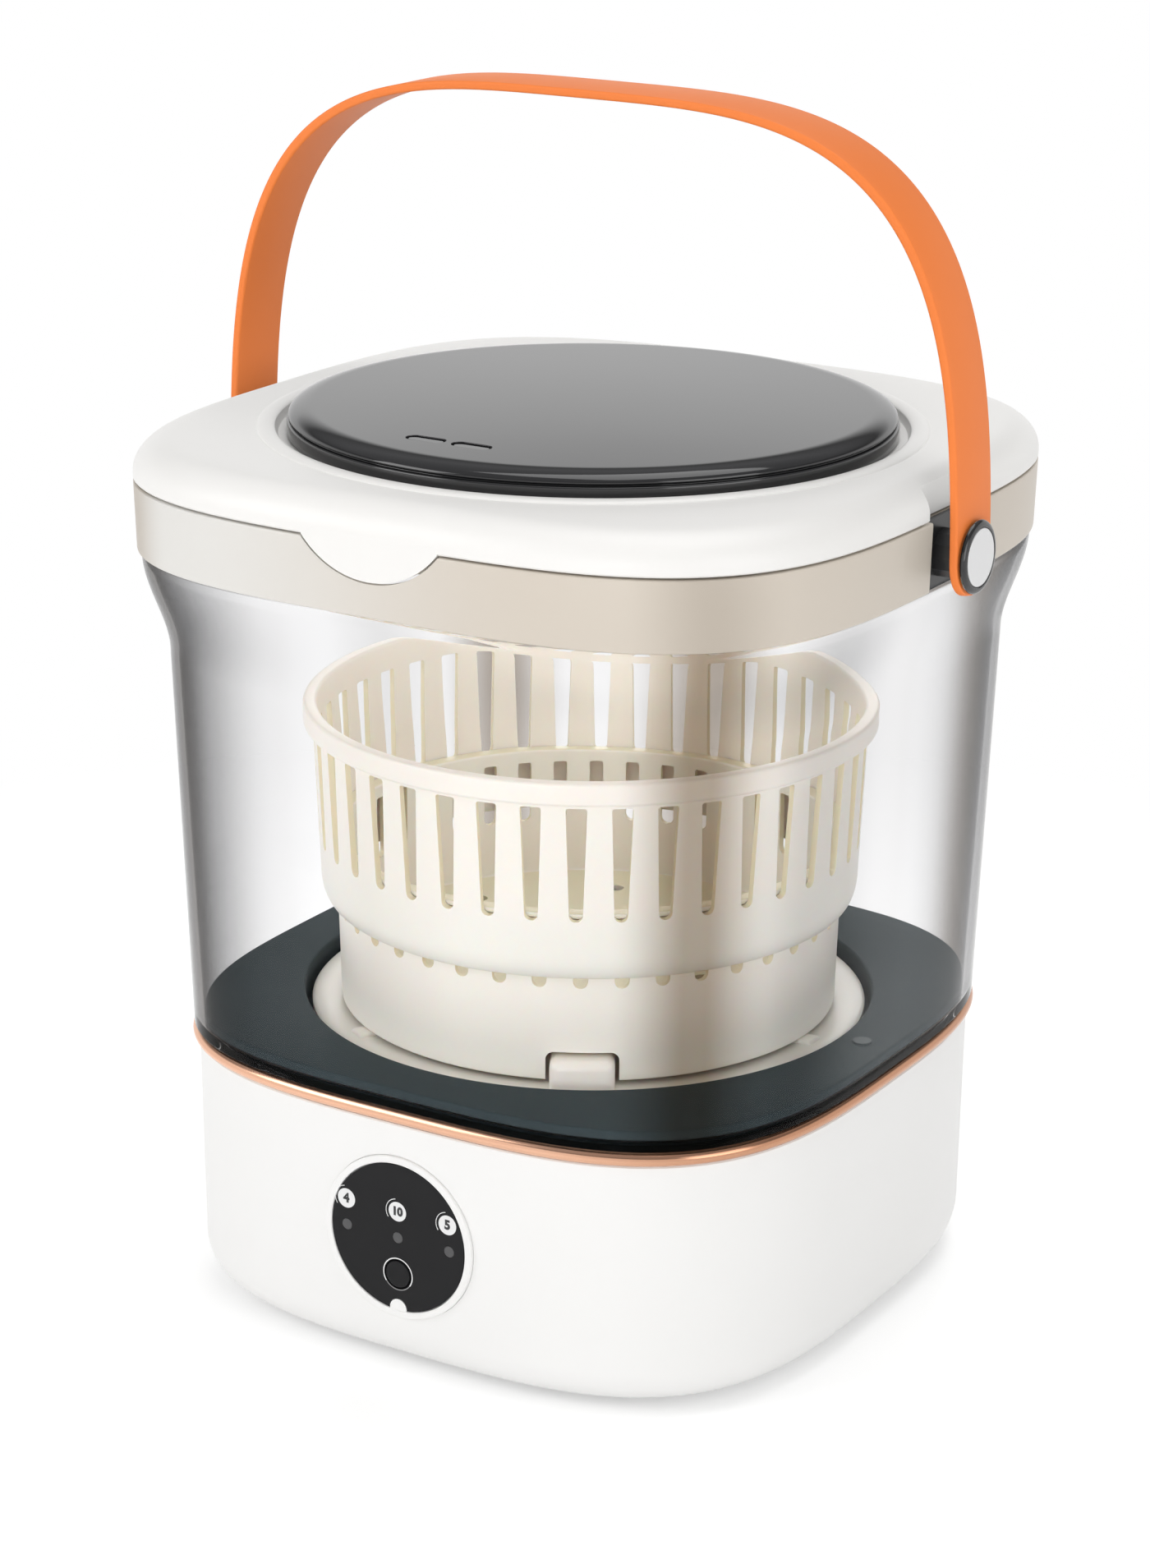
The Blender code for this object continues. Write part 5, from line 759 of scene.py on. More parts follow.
# %% Lid body
LID_WHITE = plastic("white_lid", (0.90, 0.89, 0.87), (0.875, 0.86, 0.835), 0.36, bump=0.10)
skirt_half = mouth_half - 0.0028
skirt_inside = skirt_half - 0.0025
skirt_rib = mouth_half - 0.0006
lid_top = lid_high - 0.0009
brim_low = band_high + GAP
skirt_low = brim_low - 0.0096
ridge, RIDGE_HALF = band_half - 0.0252, 0.0033
well_radius, well_z = ridge - 0.0043, lid_top - 0.0026
crown = arc((band_half - 0.012, lid_top - 0.0112), 0.012, 0.0112, 0, 90, 16)
hump = arc((ridge, lid_top), RIDGE_HALF, lid_high - lid_top, 0, 180, 12)
outside = [
    (skirt_inside, well_z - 0.0025), (skirt_inside, skirt_low), (skirt_rib, skirt_low),
    (skirt_rib, skirt_low + 0.0018), (skirt_half, skirt_low + 0.0018),
    (skirt_half, brim_low), (band_half - 0.0006, brim_low),
    (band_half, brim_low + 0.0006), *crown,
]
inside = [*hump, (well_radius + 0.0005, well_z + 0.0005), (well_radius, well_z), (0.1051, well_z)]
profile = [(0.098, well_z - 0.0025, ROUND)]
profile += [(half, z, RIM_PLAN) for half, z in outside]
profile += [(half, z, ROUND) for half, z in inside]
lid = turned_piece("white_lid", profile, ROUND)
note("lid top", lid_top, "well radius", well_radius)

# %% [markdown]
# A soft-edged cut at each side of the brim lets the strap pass, and the finger tab is
# joined on in front. The cutter is bevelled before it cuts, which gives an even round in
# the plastic where a bevel on the finished lid would have to cope with every edge.

# %% Strap cuts and finger tab


def soft_box(bm, low, high, edge, matrix=None, segments=4):
    piece = bmesh.new()
    box(piece, low, high)
    bmesh.ops.bevel(
        piece, geom=piece.edges[:], offset=edge, segments=segments, affect="EDGES", profile=0.5
    )
    if matrix:
        piece.transform(matrix)
    carrier = bpy.data.meshes.new("carrier")
    piece.to_mesh(carrier)
    piece.free()
    bm.from_mesh(carrier)
    bpy.data.meshes.remove(carrier)


STRAP_CUT, BEYOND = 0.0155, 0.012
cutters = side_boxes(
    band_half - 0.005, band_half + BEYOND, STRAP_CUT, brim_low - BEYOND, lid_top + BEYOND,
    soft_box, edge=0.0035, segments=6,
)
combine(lid, "DIFFERENCE", cutters)
tab_low = brim_low - TAB_DROP - 0.002
combine(lid, "UNION", tab_slice(0, tab_low, brim_low + 0.0028, neck_half + GAP, band_half))
soften_edges(lid, 0.0004, 50)
show(lid, LID_WHITE, "lid", "lid_frame")
print("lid faces:", len(lid.data.polygons))

# %% [markdown]
# The cover is a dark, polished disc: a lower lip, a groove, a rounded shoulder and a
# slight crown. Its mirror finish shows every facet, so the crown is a sine curve rather
# than a cone, and the shoulder has its own fine arc.

# %% Glossy cover
dome_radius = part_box("lid_dome")[1][0]
lip_top = dome_low + 0.0052
inner = dome_radius - 0.0020
centre = (dome_radius - 0.0095, lip_top + 0.0010)
shoulder = arc(centre, 0.0090, 0.0036, 0, 90, 16)
shoulder_z = shoulder[-1][1]
rim_points = [(dome_radius, dome_low), (dome_radius, lip_top), (inner, lip_top), shoulder[0]]
profile = soften(rim_points, 0.0009, steps=5) + shoulder[1:]
for step in range(1, 9):
    share = step / 9
    rise = (dome_high - shoulder_z) * math.sin(share * math.pi / 2)
    profile.append((centre[0] * (1 - share), shoulder_z + rise))
dome = turned_piece("gloss_cover", profile)
note("cover radius", dome_radius)

# %% [markdown]
# Near its front the cover has two small pill-shaped recesses, each with a raised pad
# that leaves a fine groove round it. The outline is two half circles, cut first and
# then joined back a little smaller.

# %% Recesses in the cover
PILL_HALF, PILL_RADIUS, PAD_RADIUS = 0.0047, 0.0029, 0.0021
for operation, radius, low, high in (
    ("DIFFERENCE", PILL_RADIUS, shoulder_z - 0.0008, dome_high + 0.002),
    ("UNION", PAD_RADIUS, shoulder_z - 0.002, shoulder_z - 0.0001),
):
    pills = bmesh.new()
    for side in (-1, 1):
        outline = arc((PILL_HALF, 0), radius, radius, -90, 90, 12)
        outline += arc((-PILL_HALF, 0), radius, radius, 90, 270, 12)
        at = Matrix.Translation((-0.0073 + side * 0.0091, 0.0262 - dome_radius, 0))
        prism(pills, outline, low, high, at)
    combine(dome, operation, pills)
soften_edges(dome, 0.0003, 60)
show(dome, GLOSS, "lid", "lid_dome")
print("recess length", 2 * (PILL_HALF + PILL_RADIUS))

# %% [markdown]
# The handle is a flat strap of soft orange plastic that keeps one width along a high
# arch and is round at both ends. A path curve with a bevel object could carry the
# section, but its ends would be square. Here the section is placed row by row on a
# superellipse arch, and the first rows widen along a circle to make the round ends.

# %% Strap arch
strap_low, strap_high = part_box("handle_strap")
ARCH, STRAP_THICK, STRAP_HALF, STRAP_EDGE = 3.59, 0.003, 0.013, 0.0009
arch_z = pivot_z - 0.0417
arch_rise = strap_high[2] - arch_z
arch_half = band_half + 0.0093


def arch_point(inset, angle, y):
    across = math.copysign(abs(math.cos(angle)) ** (2 / ARCH), math.cos(angle))
    up = math.sin(angle) ** (2 / ARCH)
    return Vector(((arch_half - inset) * across, y, arch_z + (arch_rise - inset) * up))


def arch_angle(z):
    return math.asin(((z - arch_z) / arch_rise) ** (ARCH / 2))


def strap_section(angle, half):
    """Four quarter turns round the corners of the strap's section."""
    corner = min(STRAP_EDGE, half / 2)
    centres = [
        (corner, half - corner), (STRAP_THICK - corner, half - corner),
        (STRAP_THICK - corner, corner - half), (corner, corner - half),
    ]
    ring = []
    for quarter, (inset, y) in enumerate(centres):
        for step in range(5):
            lean = math.radians(90 * quarter + 22.5 * step)
            depth = inset - corner * math.cos(lean)
            ring.append(arch_point(depth, angle, y + corner * math.sin(lean)))
    return ring


note("strap from", strap_low[2], "to", strap_high[2])

# %% Strap handle
STRAP = plastic(
    "orange_strap", (0.94, 0.250, 0.056), (0.91, 0.225, 0.046), 0.50,
    scale=500.0, bump=0.04, Specular_IOR_Level=0.30,
)
PIVOT_BORE, END_RADIUS = 0.0043, 0.0133
first = arch_angle(pivot_z)
rows = []
for step in range(14):
    lean = math.radians(90) * (1 - (step + 0.2) / 14)
    rows.append((arch_angle(pivot_z - END_RADIUS * math.sin(lean)), STRAP_HALF * math.cos(lean)))
body_rows = [(first + (math.pi - 2 * first) * step / 160, STRAP_HALF) for step in range(161)]
rows = rows + body_rows + [(math.pi - angle, half) for angle, half in reversed(rows)]
bm = bmesh.new()
skin(bm, [strap_section(angle, half) for angle, half in rows], False)
strap = new_object("orange_strap", bm)
bores = bmesh.new()
along_x = Matrix.Translation((0, 0, pivot_z)) @ Matrix.Rotation(math.radians(90), 4, "Y")
turn(bores, [(PIVOT_BORE, -0.16), (PIVOT_BORE, 0.16)], segments=32, matrix=along_x)
combine(strap, "DIFFERENCE", bores)
show(strap, STRAP, "handle", "handle_strap", angle=50)
# The cover and the white parts would pick up a strong orange from so large a strap.
strap.visible_glossy = False
strap.visible_diffuse = False
print("strap rows:", len(rows))

# %% [markdown]
# A round cap closes each pivot: a dark ring that slopes outward, with a pale brushed
# disc let into it. They are two parts on the real machine and two colours, so they are
# two turned pieces, and a fine gap shows between them.

# %% Pivot caps
DISC = plastic(
    "brushed_disc", (0.80, 0.80, 0.80), (0.73, 0.73, 0.735), 0.32,
    scale=2500.0, bump=0.10, Metallic=0.35,
)
RING_INSIDE, DISC_RADIUS = 0.0102, 0.0100
for name, side in (("left", -1), ("right", 1)):
    turned = Matrix.Rotation(math.radians(90 * side), 4, "Y")
    outward = Matrix.Translation((0, 0, pivot_z)) @ turned
    low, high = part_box(f"pivot_cap_ring_{name}")
    foot, top = sorted((abs(low[0]), abs(high[0])))
    slope = arc((0.0104, foot + 0.0006), 0.0022, top - foot - 0.0006, 0, 90, 12)
    profile = [
        (PIVOT_BORE, foot), (0.0122, foot), *slope, (RING_INSIDE, top - 0.0002),
        (RING_INSIDE, foot + 0.0007), (PIVOT_BORE, foot + 0.0007),
    ]
    ring = turned_piece(f"cap_ring_{name}", profile, closed=True, segments=96, matrix=outward)
    show(ring, GLOSS, "machine", f"pivot_cap_ring_{name}")
    profile = [(DISC_RADIUS, foot + 0.0010), (DISC_RADIUS, top), (0.0070, top + 0.0002)]
    profile = soften(profile, 0.0006, steps=5) + [(0.0035, top + 0.0003)]
    disc = turned_piece(f"cap_disc_{name}", profile, segments=96, matrix=outward)
    show(disc, DISC, "machine", f"pivot_cap_disc_{name}")
    note("cap", name, "stands out to", top + 0.0003)

# %% [markdown]
# The pulsator stirs the water: a sagging dish with a centre cone, three tall blocks that
# show through the basket's notches, and three low vanes between them. Dish and cone are
# turned, and the blocks are soft boxes joined on, each a third of a turn from the last.
# Cream plastic lets a little light into itself, so its shader has some subsurface.

# %% Pulsator dish
CREAM_FACE, CREAM_TINT = (0.965, 0.915, 0.855), (0.94, 0.885, 0.81)
CREAM_SHADER = {"Subsurface_Weight": 0.2, "Subsurface_Scale": 0.006}
CREAM = plastic("cream_basket", CREAM_FACE, CREAM_TINT, 0.38, bump=0.12, **CREAM_SHADER)
BOLT_HOLE, CONE_FLAT, CONE_FOOT = 0.0021, 0.012, 0.034
dish_rim = dog_top - 0.0102
dish = dish_rim - 0.0022
cone_top = dish + 0.0072
dish_radius = well - 0.0042
dish_edge = dish_radius + 0.0018
middle = (CONE_FOOT + dish_radius) / 2
profile = [
    (BOLT_HOLE, cone_top), (CONE_FLAT, cone_top), (0.020, cone_top - 0.0024),
    (CONE_FOOT, dish), (middle, dish + 0.0005), (dish_edge - 0.006, dish_rim - 0.0004),
    (dish_edge - 0.0012, dish_rim), (dish_edge, dish_rim - 0.0008),
    (dish_edge, dish_rim - 0.003), (dish_edge - 0.0022, dish_rim - 0.003),
    (middle, dish - 0.0017), (CONE_FOOT, dish - 0.0022), (CONE_FLAT, cone_top - 0.003),
    (HUB_STEP, cone_top - 0.003), (HUB_STEP, dish_low), (SHAFT_HOLE, dish_low),
    (SHAFT_HOLE, cone_top - 0.0027), (BOLT_HOLE, cone_top - 0.0027),
]
pulsator = turned_piece("cream_pulsator", profile, closed=True)
note("dish radius", dish_edge, "rim at", dish_rim)

# %% Pulsator blocks and vanes
BLOCKS, BLOCK_WIDE, VANE_WIDE = 3, 0.01125, 0.004


def spun(degrees):
    return Matrix.Rotation(math.radians(degrees), 4, "Z")


parts = bmesh.new()
for number in range(BLOCKS):
    low = (dish_radius - 0.0233, -BLOCK_WIDE, dish - 0.002)
    high = (dish_radius - 0.0025, BLOCK_WIDE, dog_top)
    soft_box(parts, low, high, 0.0032, spun(120 * number - 60), 6)
    low = (0.029, -VANE_WIDE, dish - 0.0015)
    high = (dish_radius - 0.0048, VANE_WIDE, dish + 0.0029)
    soft_box(parts, low, high, 0.0012, spun(120 * number))
combine(pulsator, "UNION", parts)
show(pulsator, CREAM, "pulsator", "pulsator", angle=45)
print("pulsator faces:", len(pulsator.data.polygons))

# %% [markdown]
# The spin basket has two parts: a cup that stands over the pulsator's blocks, and a ring
# that hangs round it and carries the wide rim. One piece would be simpler, but the step
# and the hem between them show in the photo. Both share the widths below. Their plastic
# is the cream of the pulsator, with painted shade, darker and yellower, on the slot walls.

# %% Basket widths
BASKET = plastic(
    "cream_basket_slotted", CREAM_FACE, CREAM_TINT, 0.38, bump=0.12, **CREAM_SHADER
)
# Painted shade: the side walls of the slots are darker and yellower.
retone(BASKET, "Slot Wall", (0.89, 0.82, 0.63), Top=ring_high - 0.0085)
THIN, SLOTS = 0.0020, 40
cup_half, skirt_out = dish_radius - 0.0083, dish_radius - 0.0091
ring_top_half, ring_low_half = cup_half + 0.0085, cup_half + 0.0062
hem_half, brim_half = cup_half + 0.0024, cup_half + 0.0120
cup_floor = cup_low + 0.0134
flange_low, flange_high = cup_high - 0.0020, cup_high
rim_under = ring_high - 0.0080
note("basket from", cup_low, "to", ring_high)

# %% [markdown]
# The cup is turned first. Slots, notches and floor holes are then cut from it in two
# boolean steps. An array of slotted panels bent to a circle would be quicker, but would
# not stay round. Each slot is a prism with a round foot, pointed outward and spun.

# %% Basket cup
OUTWARD = Matrix(((0, 0, 1, 0), (1, 0, 0, 0), (0, 1, 0, 0), (0, 0, 0, 1)))


def slot_outline(foot_width, top_width, low, high, corner=0.0009):
    radius = foot_width / 2
    outline = arc((0, low + radius), radius, radius, -180, 0, 12)
    outline += arc((top_width / 2 - corner, high - corner), corner, corner, 0, 90, 4)
    return outline + arc((corner - top_width / 2, high - corner), corner, corner, 90, 180, 4)


def cut_slots(piece, outline, inner, outer, first_angle):
    cutters = bmesh.new()
    for number in range(SLOTS):
        at = spun(first_angle + 360 // SLOTS * number) @ OUTWARD
        prism(cutters, outline, inner, outer, at)
    combine(piece, "DIFFERENCE", cutters)


flange_half = cup_half + 0.0037
profile = [
    (0.013, cup_floor + 0.004), (0.018, cup_floor - 0.002),
    (skirt_out - THIN, cup_floor - 0.002), (skirt_out - THIN, cup_low),
    (skirt_out, cup_low), (cup_half, cup_low + 0.0300), (cup_half, flange_low),
    (flange_half, flange_low), (flange_half, flange_high), (cup_half - THIN, flange_high),
    (cup_half - THIN, cup_floor), (0.020, cup_floor), (0.015, cup_floor + 0.006),
]
cup = turned_piece("basket_cup", soften(profile, 0.0012, steps=4), segments=240)
outline = slot_outline(0.0052, 0.0052, hem_low - 0.0048, flange_low - 0.0030)
cut_slots(cup, outline, cup_half - 0.004, cup_half + 0.002, 2.5)
print("cup slots:", SLOTS)

# %% Notches and floor holes of the cup
NOTCH_HALF, NOTCH_ROUND, HOLES, HOLE_RADIUS = 0.01275, 0.003, 8, 0.003
notch_top = dog_top + 0.0015
corner_x, corner_z = NOTCH_HALF - NOTCH_ROUND, notch_top - NOTCH_ROUND
outline = arc((corner_x, corner_z), NOTCH_ROUND, NOTCH_ROUND, 0, 90, 8)
outline += arc((-corner_x, corner_z), NOTCH_ROUND, NOTCH_ROUND, 90, 180, 8)
outline += [(-NOTCH_HALF, cup_low - 0.002), (NOTCH_HALF, cup_low - 0.002)]
cutters = bmesh.new()
for number in range(BLOCKS):
    at = spun(120 * number - 60) @ OUTWARD
    prism(cutters, outline, dish_radius - 0.0253, cup_half + 0.002, at)
hole = [(HOLE_RADIUS, cup_floor - 0.004), (HOLE_RADIUS, cup_floor + 0.002)]
for ring in range(2):
    for number in range(HOLES):
        away = Matrix.Translation((cup_half - 0.0430 + 0.022 * ring, 0, 0))
        turn(cutters, hole, segments=24, matrix=spun(360 / HOLES * (number + ring / 2)) @ away)
combine(cup, "DIFFERENCE", cutters)
soften_edges(cup, 0.0004, 50)
show(cup, BASKET, "basket", "basket_cup", angle=45)
print("cup faces:", len(cup.data.polygons))

# %% [markdown]
# The ring's wall leans out from a curled hem to the wide rim, and its slots widen
# upward. A Solidify modifier could thicken a single wall. A profile that goes up the
# outside and comes back down the inside lets the rim and the hem have their own form.

# %% Basket ring
ledge_z = flange_low - GAP
ledge_half = cup_half + 0.0006
hem_rise = 0.0093
hem = arc((hem_half, hem_low + hem_rise), ring_low_half - hem_half, hem_rise, -90, 0, 10)
profile = hem + [(ring_top_half, rim_under), (brim_half, rim_under), (brim_half, ring_high)]
profile += [(brim_half - 0.0050, ring_high), (ring_top_half - THIN, rim_under)]
profile += [(ring_low_half - THIN, ledge_z), (ledge_half, ledge_z)]
profile += [(ledge_half, flange_low - 0.0025), (ring_low_half - THIN, flange_low - 0.0025)]
profile += [(half - THIN, z) for half, z in reversed(hem)]
profile = soften(profile, 0.0014, closed=True, steps=5)
hoop = turned_piece("basket_ring", profile, closed=True, segments=240)
outline = slot_outline(0.0048, 0.0073, hem_low + 0.0218, rim_under - 0.0018)
cut_slots(hoop, outline, ring_low_half - 0.004, ring_top_half + 0.002, 1.6)
soften_edges(hoop, 0.0004, 50)
show(hoop, BASKET, "basket", "basket_ring", angle=45)
note("ring slots:", SLOTS, "rim half", brim_half)

# %% [markdown]
# The control panel sits in a white bezel with a short tube behind it. At its foot shows
# a white half-round mark. It could be printed on the disc, but it is joined to the
# bezel's web and lies level with the disc, as a moulded mark does.

# %% Panel bezel


def on_face(x, y=0, z=0):
    return on_panel @ Matrix.Translation((x, y, z))


opening = bezel_radius - 0.0027
web, tube_end, tube_inside = -0.0017, -TUBE_DEPTH, tube_radius - 0.0016
profile = [
    (tube_inside, tube_end), (tube_radius, tube_end), (tube_radius, -0.0027),
    (bezel_radius, -0.0027), (bezel_radius, 0), (opening, 0), (opening, web),
    (tube_inside, web),
]
profile = soften(profile, 0.0007, closed=True, steps=5)
bezel = turned_piece("white_bezel", profile, closed=True, matrix=on_panel)
MARK_RADIUS, FACE = 0.0034, -0.0004
mark = bmesh.new()
mark_at = on_face(0, 0.0008 - opening)
turn(mark, [(MARK_RADIUS, web + FACE), (MARK_RADIUS, FACE)], segments=64, matrix=mark_at)
combine(bezel, "UNION", mark)
show(bezel, WHITE, "machine", "panel_bezel")
note("bezel radius", bezel_radius)

# %% [markdown]
# The panel's face is one dark, smooth disc with real holes for the button and the three
# lamps. Painting these on would do from afar, but the button has to move in its hole.

# %% Panel disc
PANEL = plastic(
    "panel_glass", (0.011, 0.011, 0.012), (0.015, 0.015, 0.016), 0.32,
    spread=0.02, bump=0.02, Specular_IOR_Level=0.15,
)
BUTTON_HOLE, LAMP_HOLE = 0.0055, 0.0021
button_low, button_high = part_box("mode_button")
button_y = (button_low[2] + button_high[2]) / 2 - panel_z
button_at = on_face(0, button_y)
lens_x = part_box("indicator_lens_3")[1][0] - 0.0027
disc_edge = [(opening - GAP, web + GAP), (opening - GAP, FACE)]
glass = turned_piece("panel_disc", soften(disc_edge, 0.0002), matrix=on_panel)
holes = [(MARK_RADIUS + GAP, 64, mark_at), (BUTTON_HOLE, 64, button_at)]
holes += [(LAMP_HOLE, 48, on_face(x)) for x in (-lens_x, 0, lens_x)]
cutters = bmesh.new()
for radius, segments, at in holes:
    turn(cutters, [(radius, -0.004), (radius, 0.002)], segments=segments, matrix=at)
combine(glass, "DIFFERENCE", cutters)
show(glass, PANEL, "machine", "panel_glass")
note("button at", button_y, "lamps at", lens_x)

# %% Button and lamps
LENS = plastic("smoked_lens", (0.075, 0.075, 0.077), (0.062, 0.062, 0.064), 0.30, bump=0.04)
profile = [
    (0.0020, -0.0057), (0.0020, -0.0027), (0.0063, -0.0027), (0.0063, -0.0017),
    (0.0049, -0.0017), (0.0049, -0.0001), (0.0030, -0.0002),
]
cap = turned_piece("mode_button_cap", soften(profile, 0.0004), segments=96, matrix=button_at)
show(cap, PANEL, "button", "mode_button")
profile = [
    (0.0027, -0.0025), (0.0027, -0.0017), (0.0020, -0.0017),
    (0.0020, -0.00045), (0.0013, FACE),
]
for number, x in enumerate((-lens_x, 0, lens_x), 1):
    lens = turned_piece(f"lamp_{number}", profile, segments=64, matrix=on_face(x))
    show(lens, LENS, "machine", f"indicator_lens_{number}")
print("lamps on the panel:", number)

# %% [markdown]
# The print on the disc is three pale rounds with plain numbers, thin arcs beside them,
# and a ring round the button. Printed ink is geometry here, a few hundredths of a
# millimetre thick: it stays sharp at any distance and needs no image.

# %% Printed marks
PRINT = plastic("white_print", (0.85, 0.85, 0.85), (0.78, 0.78, 0.78), 0.45, bump=0.04)
FAINT = plastic("faint_print", (0.30, 0.30, 0.30), (0.24, 0.24, 0.24), 0.45, bump=0.04)
INK = plastic("dark_print", (0.020, 0.020, 0.022), (0.028, 0.028, 0.030), 0.45, bump=0.04)
INK_THICK, NUMBER_HALF, PRINT_RADIUS = 0.00003, 0.00002, 0.0036
ARC_IN, ARC_OUT, RING_IN, RING_OUT = 0.00455, 0.00480, 0.00575, 0.00615
ONE_DIGIT, TWO_DIGITS, STROKE = 0.0047, 0.0043, 0.00024


def printed_arc(centre, inner, outer, start, end, material):
    steps = max(8, int(abs(end - start) / 4))
    outline = arc(centre, outer, outer, start, end, steps)
    outline += arc(centre, inner, inner, end, start, steps)
    bm = bmesh.new()
    prism(bm, outline, FACE, FACE + INK_THICK, on_panel)
    show(new_object("printed_mark", bm), material, "machine")


for number, x in ((4, -lens_x - 0.0001), (10, 0.0), (5, lens_x - 0.0006)):
    centre = (x, 0.0099)
    at = on_face(*centre)
    profile = [(PRINT_RADIUS, FACE), (PRINT_RADIUS, FACE + INK_THICK)]
    disc = turned_piece(f"printed_disc_{number}", profile, segments=64, matrix=at)
    show(disc, PRINT, "machine")
    printed_arc(centre, ARC_IN, ARC_OUT, 100, 215, PRINT)
    words = bpy.data.curves.new(f"number_{number}", "FONT")
    words.body = str(number)
    words.size = ONE_DIGIT if number < 10 else TWO_DIGITS
    words.align_x, words.align_y = "CENTER", "CENTER"
    words.extrude = NUMBER_HALF
    words.offset = STROKE
    digits = bpy.data.objects.new(f"number_{number}", words)
    digits.matrix_world = on_face(*centre, FACE + 2 * INK_THICK)
    bpy.context.scene.collection.objects.link(digits)
    words.materials.append(INK)
    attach(digits, "machine")
printed_arc((0, button_y), RING_IN, RING_OUT, -35, 215, PRINT)
printed_arc((0, button_y), RING_IN, RING_OUT - 0.0001, 215, 325, FAINT)
print("numbers on the panel:", 3)

# %% [markdown]
# The other parts are hidden or plain: screws, seals, boards, the motor, the feet. Their
# CAD shape is good enough, so each only gets a finish, found by the start of its name.

# %% Finishes of the other nodes
BLACK = plastic("black_plastic", (0.018, 0.018, 0.019), (0.026, 0.026, 0.027), 0.30)
STEEL = plastic("machined_steel", (0.55, 0.56, 0.57), (0.46, 0.47, 0.48), 0.32, Metallic=1.0)
RUBBER = plastic("black_rubber", (0.030, 0.030, 0.032), (0.042, 0.042, 0.044), 0.75, bump=0.35)
SILICONE = plastic("pale_silicone", (0.66, 0.66, 0.64), (0.58, 0.58, 0.56), 0.60, bump=0.25)
BOARD = plastic("green_board", (0.03, 0.20, 0.10), (0.02, 0.14, 0.07), 0.48)
BY_NAME = (
    (WHITE, ("bottom_cover", "drain_pipe")),
    (LID_WHITE, ("lid_liner",)),
    (RUBBER, ("foot_", "drain_plug", "shaft_seal")),
    (SILICONE, ("floor_seal", "lid_gasket")),
    (BOARD, ("panel_board", "power_board")),
    (BLACK, ("pivot_mount", "dc_jack", "motor_magnet")),
    (STEEL, ("motor_", "bearing_", "cover_screw", "floor_screw")),
    (STEEL, ("drive_shaft", "pulsator_bolt", "pivot_pin")),
)
dressed = 0
for name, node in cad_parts.items():
    for material, starts in BY_NAME:
        if name.startswith(starts):
            for place in node.material_slots:
                place.material = material
            dressed += 1
            break
print("nodes that keep their CAD shape:", dressed)

# %% [markdown]
# The studio floor is pale paper that keeps a soft shadow. Lighting it until it is white
# would also wash out the machine. So it glows a little where the camera, gloss or clear
# plastic see it, and further out it fades to plain white, which hides the horizon.

# %% Floor
PURE_WHITE = (1, 1, 1, 1)


def build_paper():
    paper, tree, principled = start_material("studio_paper")
    tone = add(tree, "ValToRGB", add(tree, "TexNoise", Scale=60.0, Detail=2.0).outputs["Fac"])
    for stop, level in zip(tone.color_ramp.elements, (0.93, 0.96)):
        stop.color = (level, level, level, 1)
    tone = tone.outputs["Color"]
    fill(principled, Base_Color=tone, Roughness=0.9, Specular_IOR_Level=0.0)
    matt = principled.outputs[0]
    glow = add(tree, "Emission", Color=tone, Strength=0.30).outputs[0]
    bright = add(tree, "Emission", Color=PURE_WHITE, Strength=1.0).outputs[0]
    place = add(tree, "TexCoord").outputs["Object"]
    reach = add(tree, "VectorMath", place, operation="LENGTH").outputs["Value"]
    near = add(tree, "AddShader", matt, glow).outputs[0]
    faded = mix_shaders(tree, ramp(tree, reach, 0.26, 0.62), near, bright)
    path = add(tree, "LightPath").outputs
    seen = maths(tree, "MAXIMUM", path["Is Camera Ray"], path["Is Glossy Ray"])
    seen = maths(tree, "MAXIMUM", seen, path["Is Transmission Ray"])
    feed(tree.nodes["Material Output"].inputs["Surface"], mix_shaders(tree, seen, matt, faded))
    return paper


bm = bmesh.new()
for x, y in ((-3, -3), (3, -3), (3, 3), (-3, 3)):
    bm.verts.new((x, y, 0))
bm.faces.new(bm.verts[:])
ground = new_object("studio_floor", bm)
ground.data.materials.append(build_paper())
print("floor size:", tuple(round(side, 1) for side in ground.dimensions))

# %% [markdown]
# The backdrop is white for the camera and for clear plastic. Other rays meet a dim
# grey, so that the lamps shape the machine. Gloss sees a ramp: white near the horizon, a
# dark gap, then a grey ceiling. The gap gives the cover and the copper their contrast.

# %% Backdrop
world = bpy.data.worlds.new("studio")
bpy.context.scene.world = world
world.use_nodes = True
tree = world.node_tree
tree.nodes.clear()
height = add(tree, "SeparateXYZ", add(tree, "TexCoord").outputs["Generated"]).outputs["Z"]
sky = add(tree, "ValToRGB", height)
first, last = sky.color_ramp.elements
first.position, first.color = 0.05, PURE_WHITE
last.position, last.color = 0.62, (0.40, 0.40, 0.41, 1)
for position, level in ((0.25, 1.0), (0.39, 0.14)):
    stop = sky.color_ramp.elements.new(position)
    stop.color = (level, level, level, 1)
white = add(tree, "Background", Color=PURE_WHITE, Strength=1.0).outputs[0]
dim = add(tree, "Background", Color=PURE_WHITE, Strength=0.40).outputs[0]
gloss = add(tree, "Background", Color=sky.outputs["Color"], Strength=1.0).outputs[0]
path = add(tree, "LightPath").outputs
seen = maths(tree, "MAXIMUM", path["Is Camera Ray"], path["Is Transmission Ray"])
others = mix_shaders(tree, path["Is Glossy Ray"], dim, gloss)
add(tree, "OutputWorld", Surface=mix_shaders(tree, seen, others, white))
print("backdrop stops:", len(sky.color_ramp.elements))

# %% [markdown]
# Soft area lamps stand round the machine as in a photo studio: a key at the left, a fill
# at the right, one low in front, one above, one behind for the far edges, and a faint
# one under the lid. Spots or a sun would draw hard shadows that the photo doesn't have.
# Three of them are hidden from gloss, where they would show as bright squares.

# %% Lamps


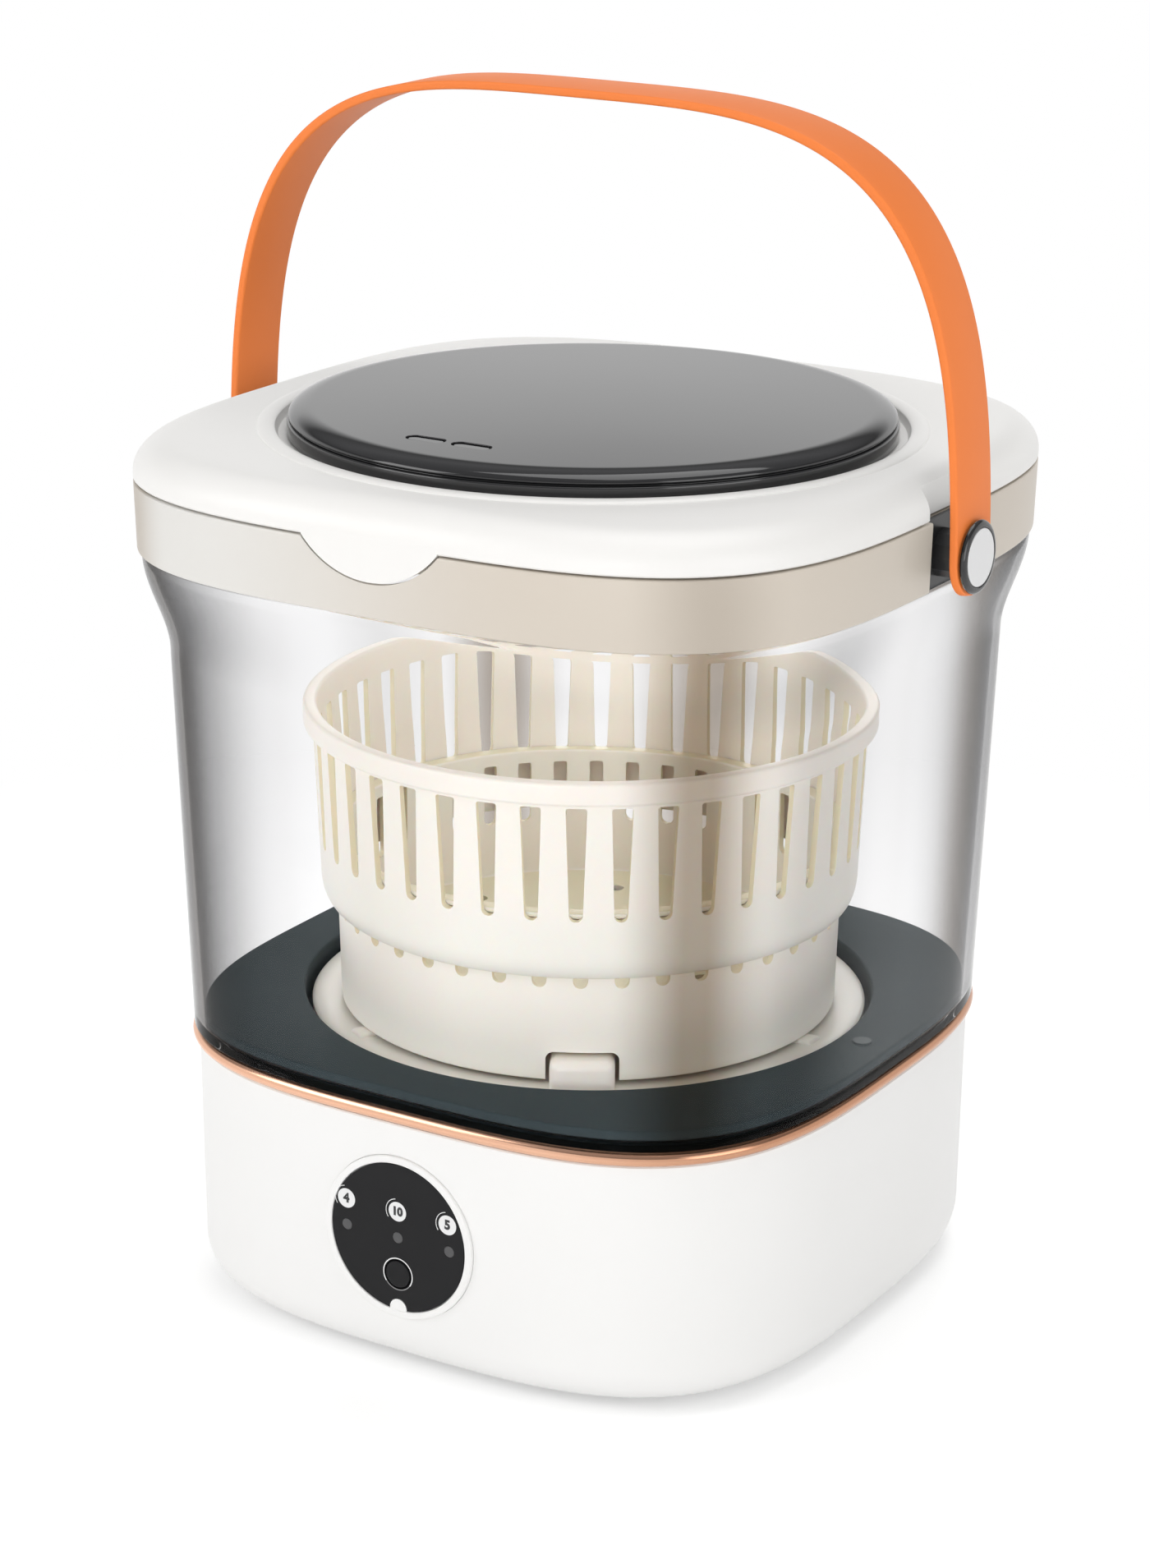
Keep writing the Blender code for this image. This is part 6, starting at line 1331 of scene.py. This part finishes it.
def lamp(name, position, target, size, watts, in_gloss=True):
    data = bpy.data.lights.new(name, "AREA")
    data.shape = "RECTANGLE"
    data.size, data.size_y = size, size
    data.energy = watts
    obj = bpy.data.objects.new(name, data)
    obj.location = position
    aim = Vector(target) - Vector(position)
    obj.rotation_euler = aim.to_track_quat("-Z", "Y").to_euler()
    bpy.context.scene.collection.objects.link(obj)
    obj.visible_glossy = in_gloss
    return obj


BODY = (0, 0, 0.18)
lamp("key_left", (-1.3, -1.5, 1.1), BODY, 1.1, 11.5)
lamp("fill_right", (1.9, -0.5, 0.7), BODY, 1.3, 9.3)
lamp("low_front", (0.5, -2.2, 0.45), BODY, 1.0, 14.0, in_gloss=False)
lamp("top", (0.1, 0.3, 1.9), (0, 0, 0.2), 1.3, 10.5)
inner_lamp = lamp("inside_tub", (0, 0, 0.272), (0, 0, 0.1), 0.17, 0.05, in_gloss=False)
inner_lamp.visible_transmission = False
lamp("back_edge", (-0.8, 1.7, 1.0), (0, 0, 0.2), 1.0, 8.0, in_gloss=False)

# %% [markdown]
# The camera stands where the photo's did. That place was found by matching corners and
# edges of the machine with the photo: it looks down 18 degrees from the front right.
# Aiming it at a target would lose the slight roll, so three turns, one after the other,
# set it: round the upright axis, down towards the machine, and the roll.

# %% Camera
AZIMUTH, ELEVATION, ROLL = math.radians(31.37), math.radians(18.36), math.radians(0.41)
FRAME_HEIGHT, LENS_MM = 36.0, 86.83
data = bpy.data.cameras.new("photo_camera")
data.sensor_fit = "VERTICAL"
data.sensor_height = FRAME_HEIGHT
data.sensor_width = FRAME_HEIGHT
data.lens = LENS_MM
data.clip_start = 0.05
camera = bpy.data.objects.new("photo_camera", data)
camera.matrix_world = Matrix.Translation((0.67077, -1.11059, 0.61302))
for angle, axis in ((AZIMUTH, "Z"), (math.pi / 2 - ELEVATION, "X"), (ROLL, "Z")):
    camera.matrix_world = camera.matrix_world @ Matrix.Rotation(angle, 4, axis)
bpy.context.scene.collection.objects.link(camera)
bpy.context.scene.camera = camera
bpy.context.scene.view_settings.view_transform = "Standard"
note("camera distance", camera.location.length)

# %% End
print("end of the script")
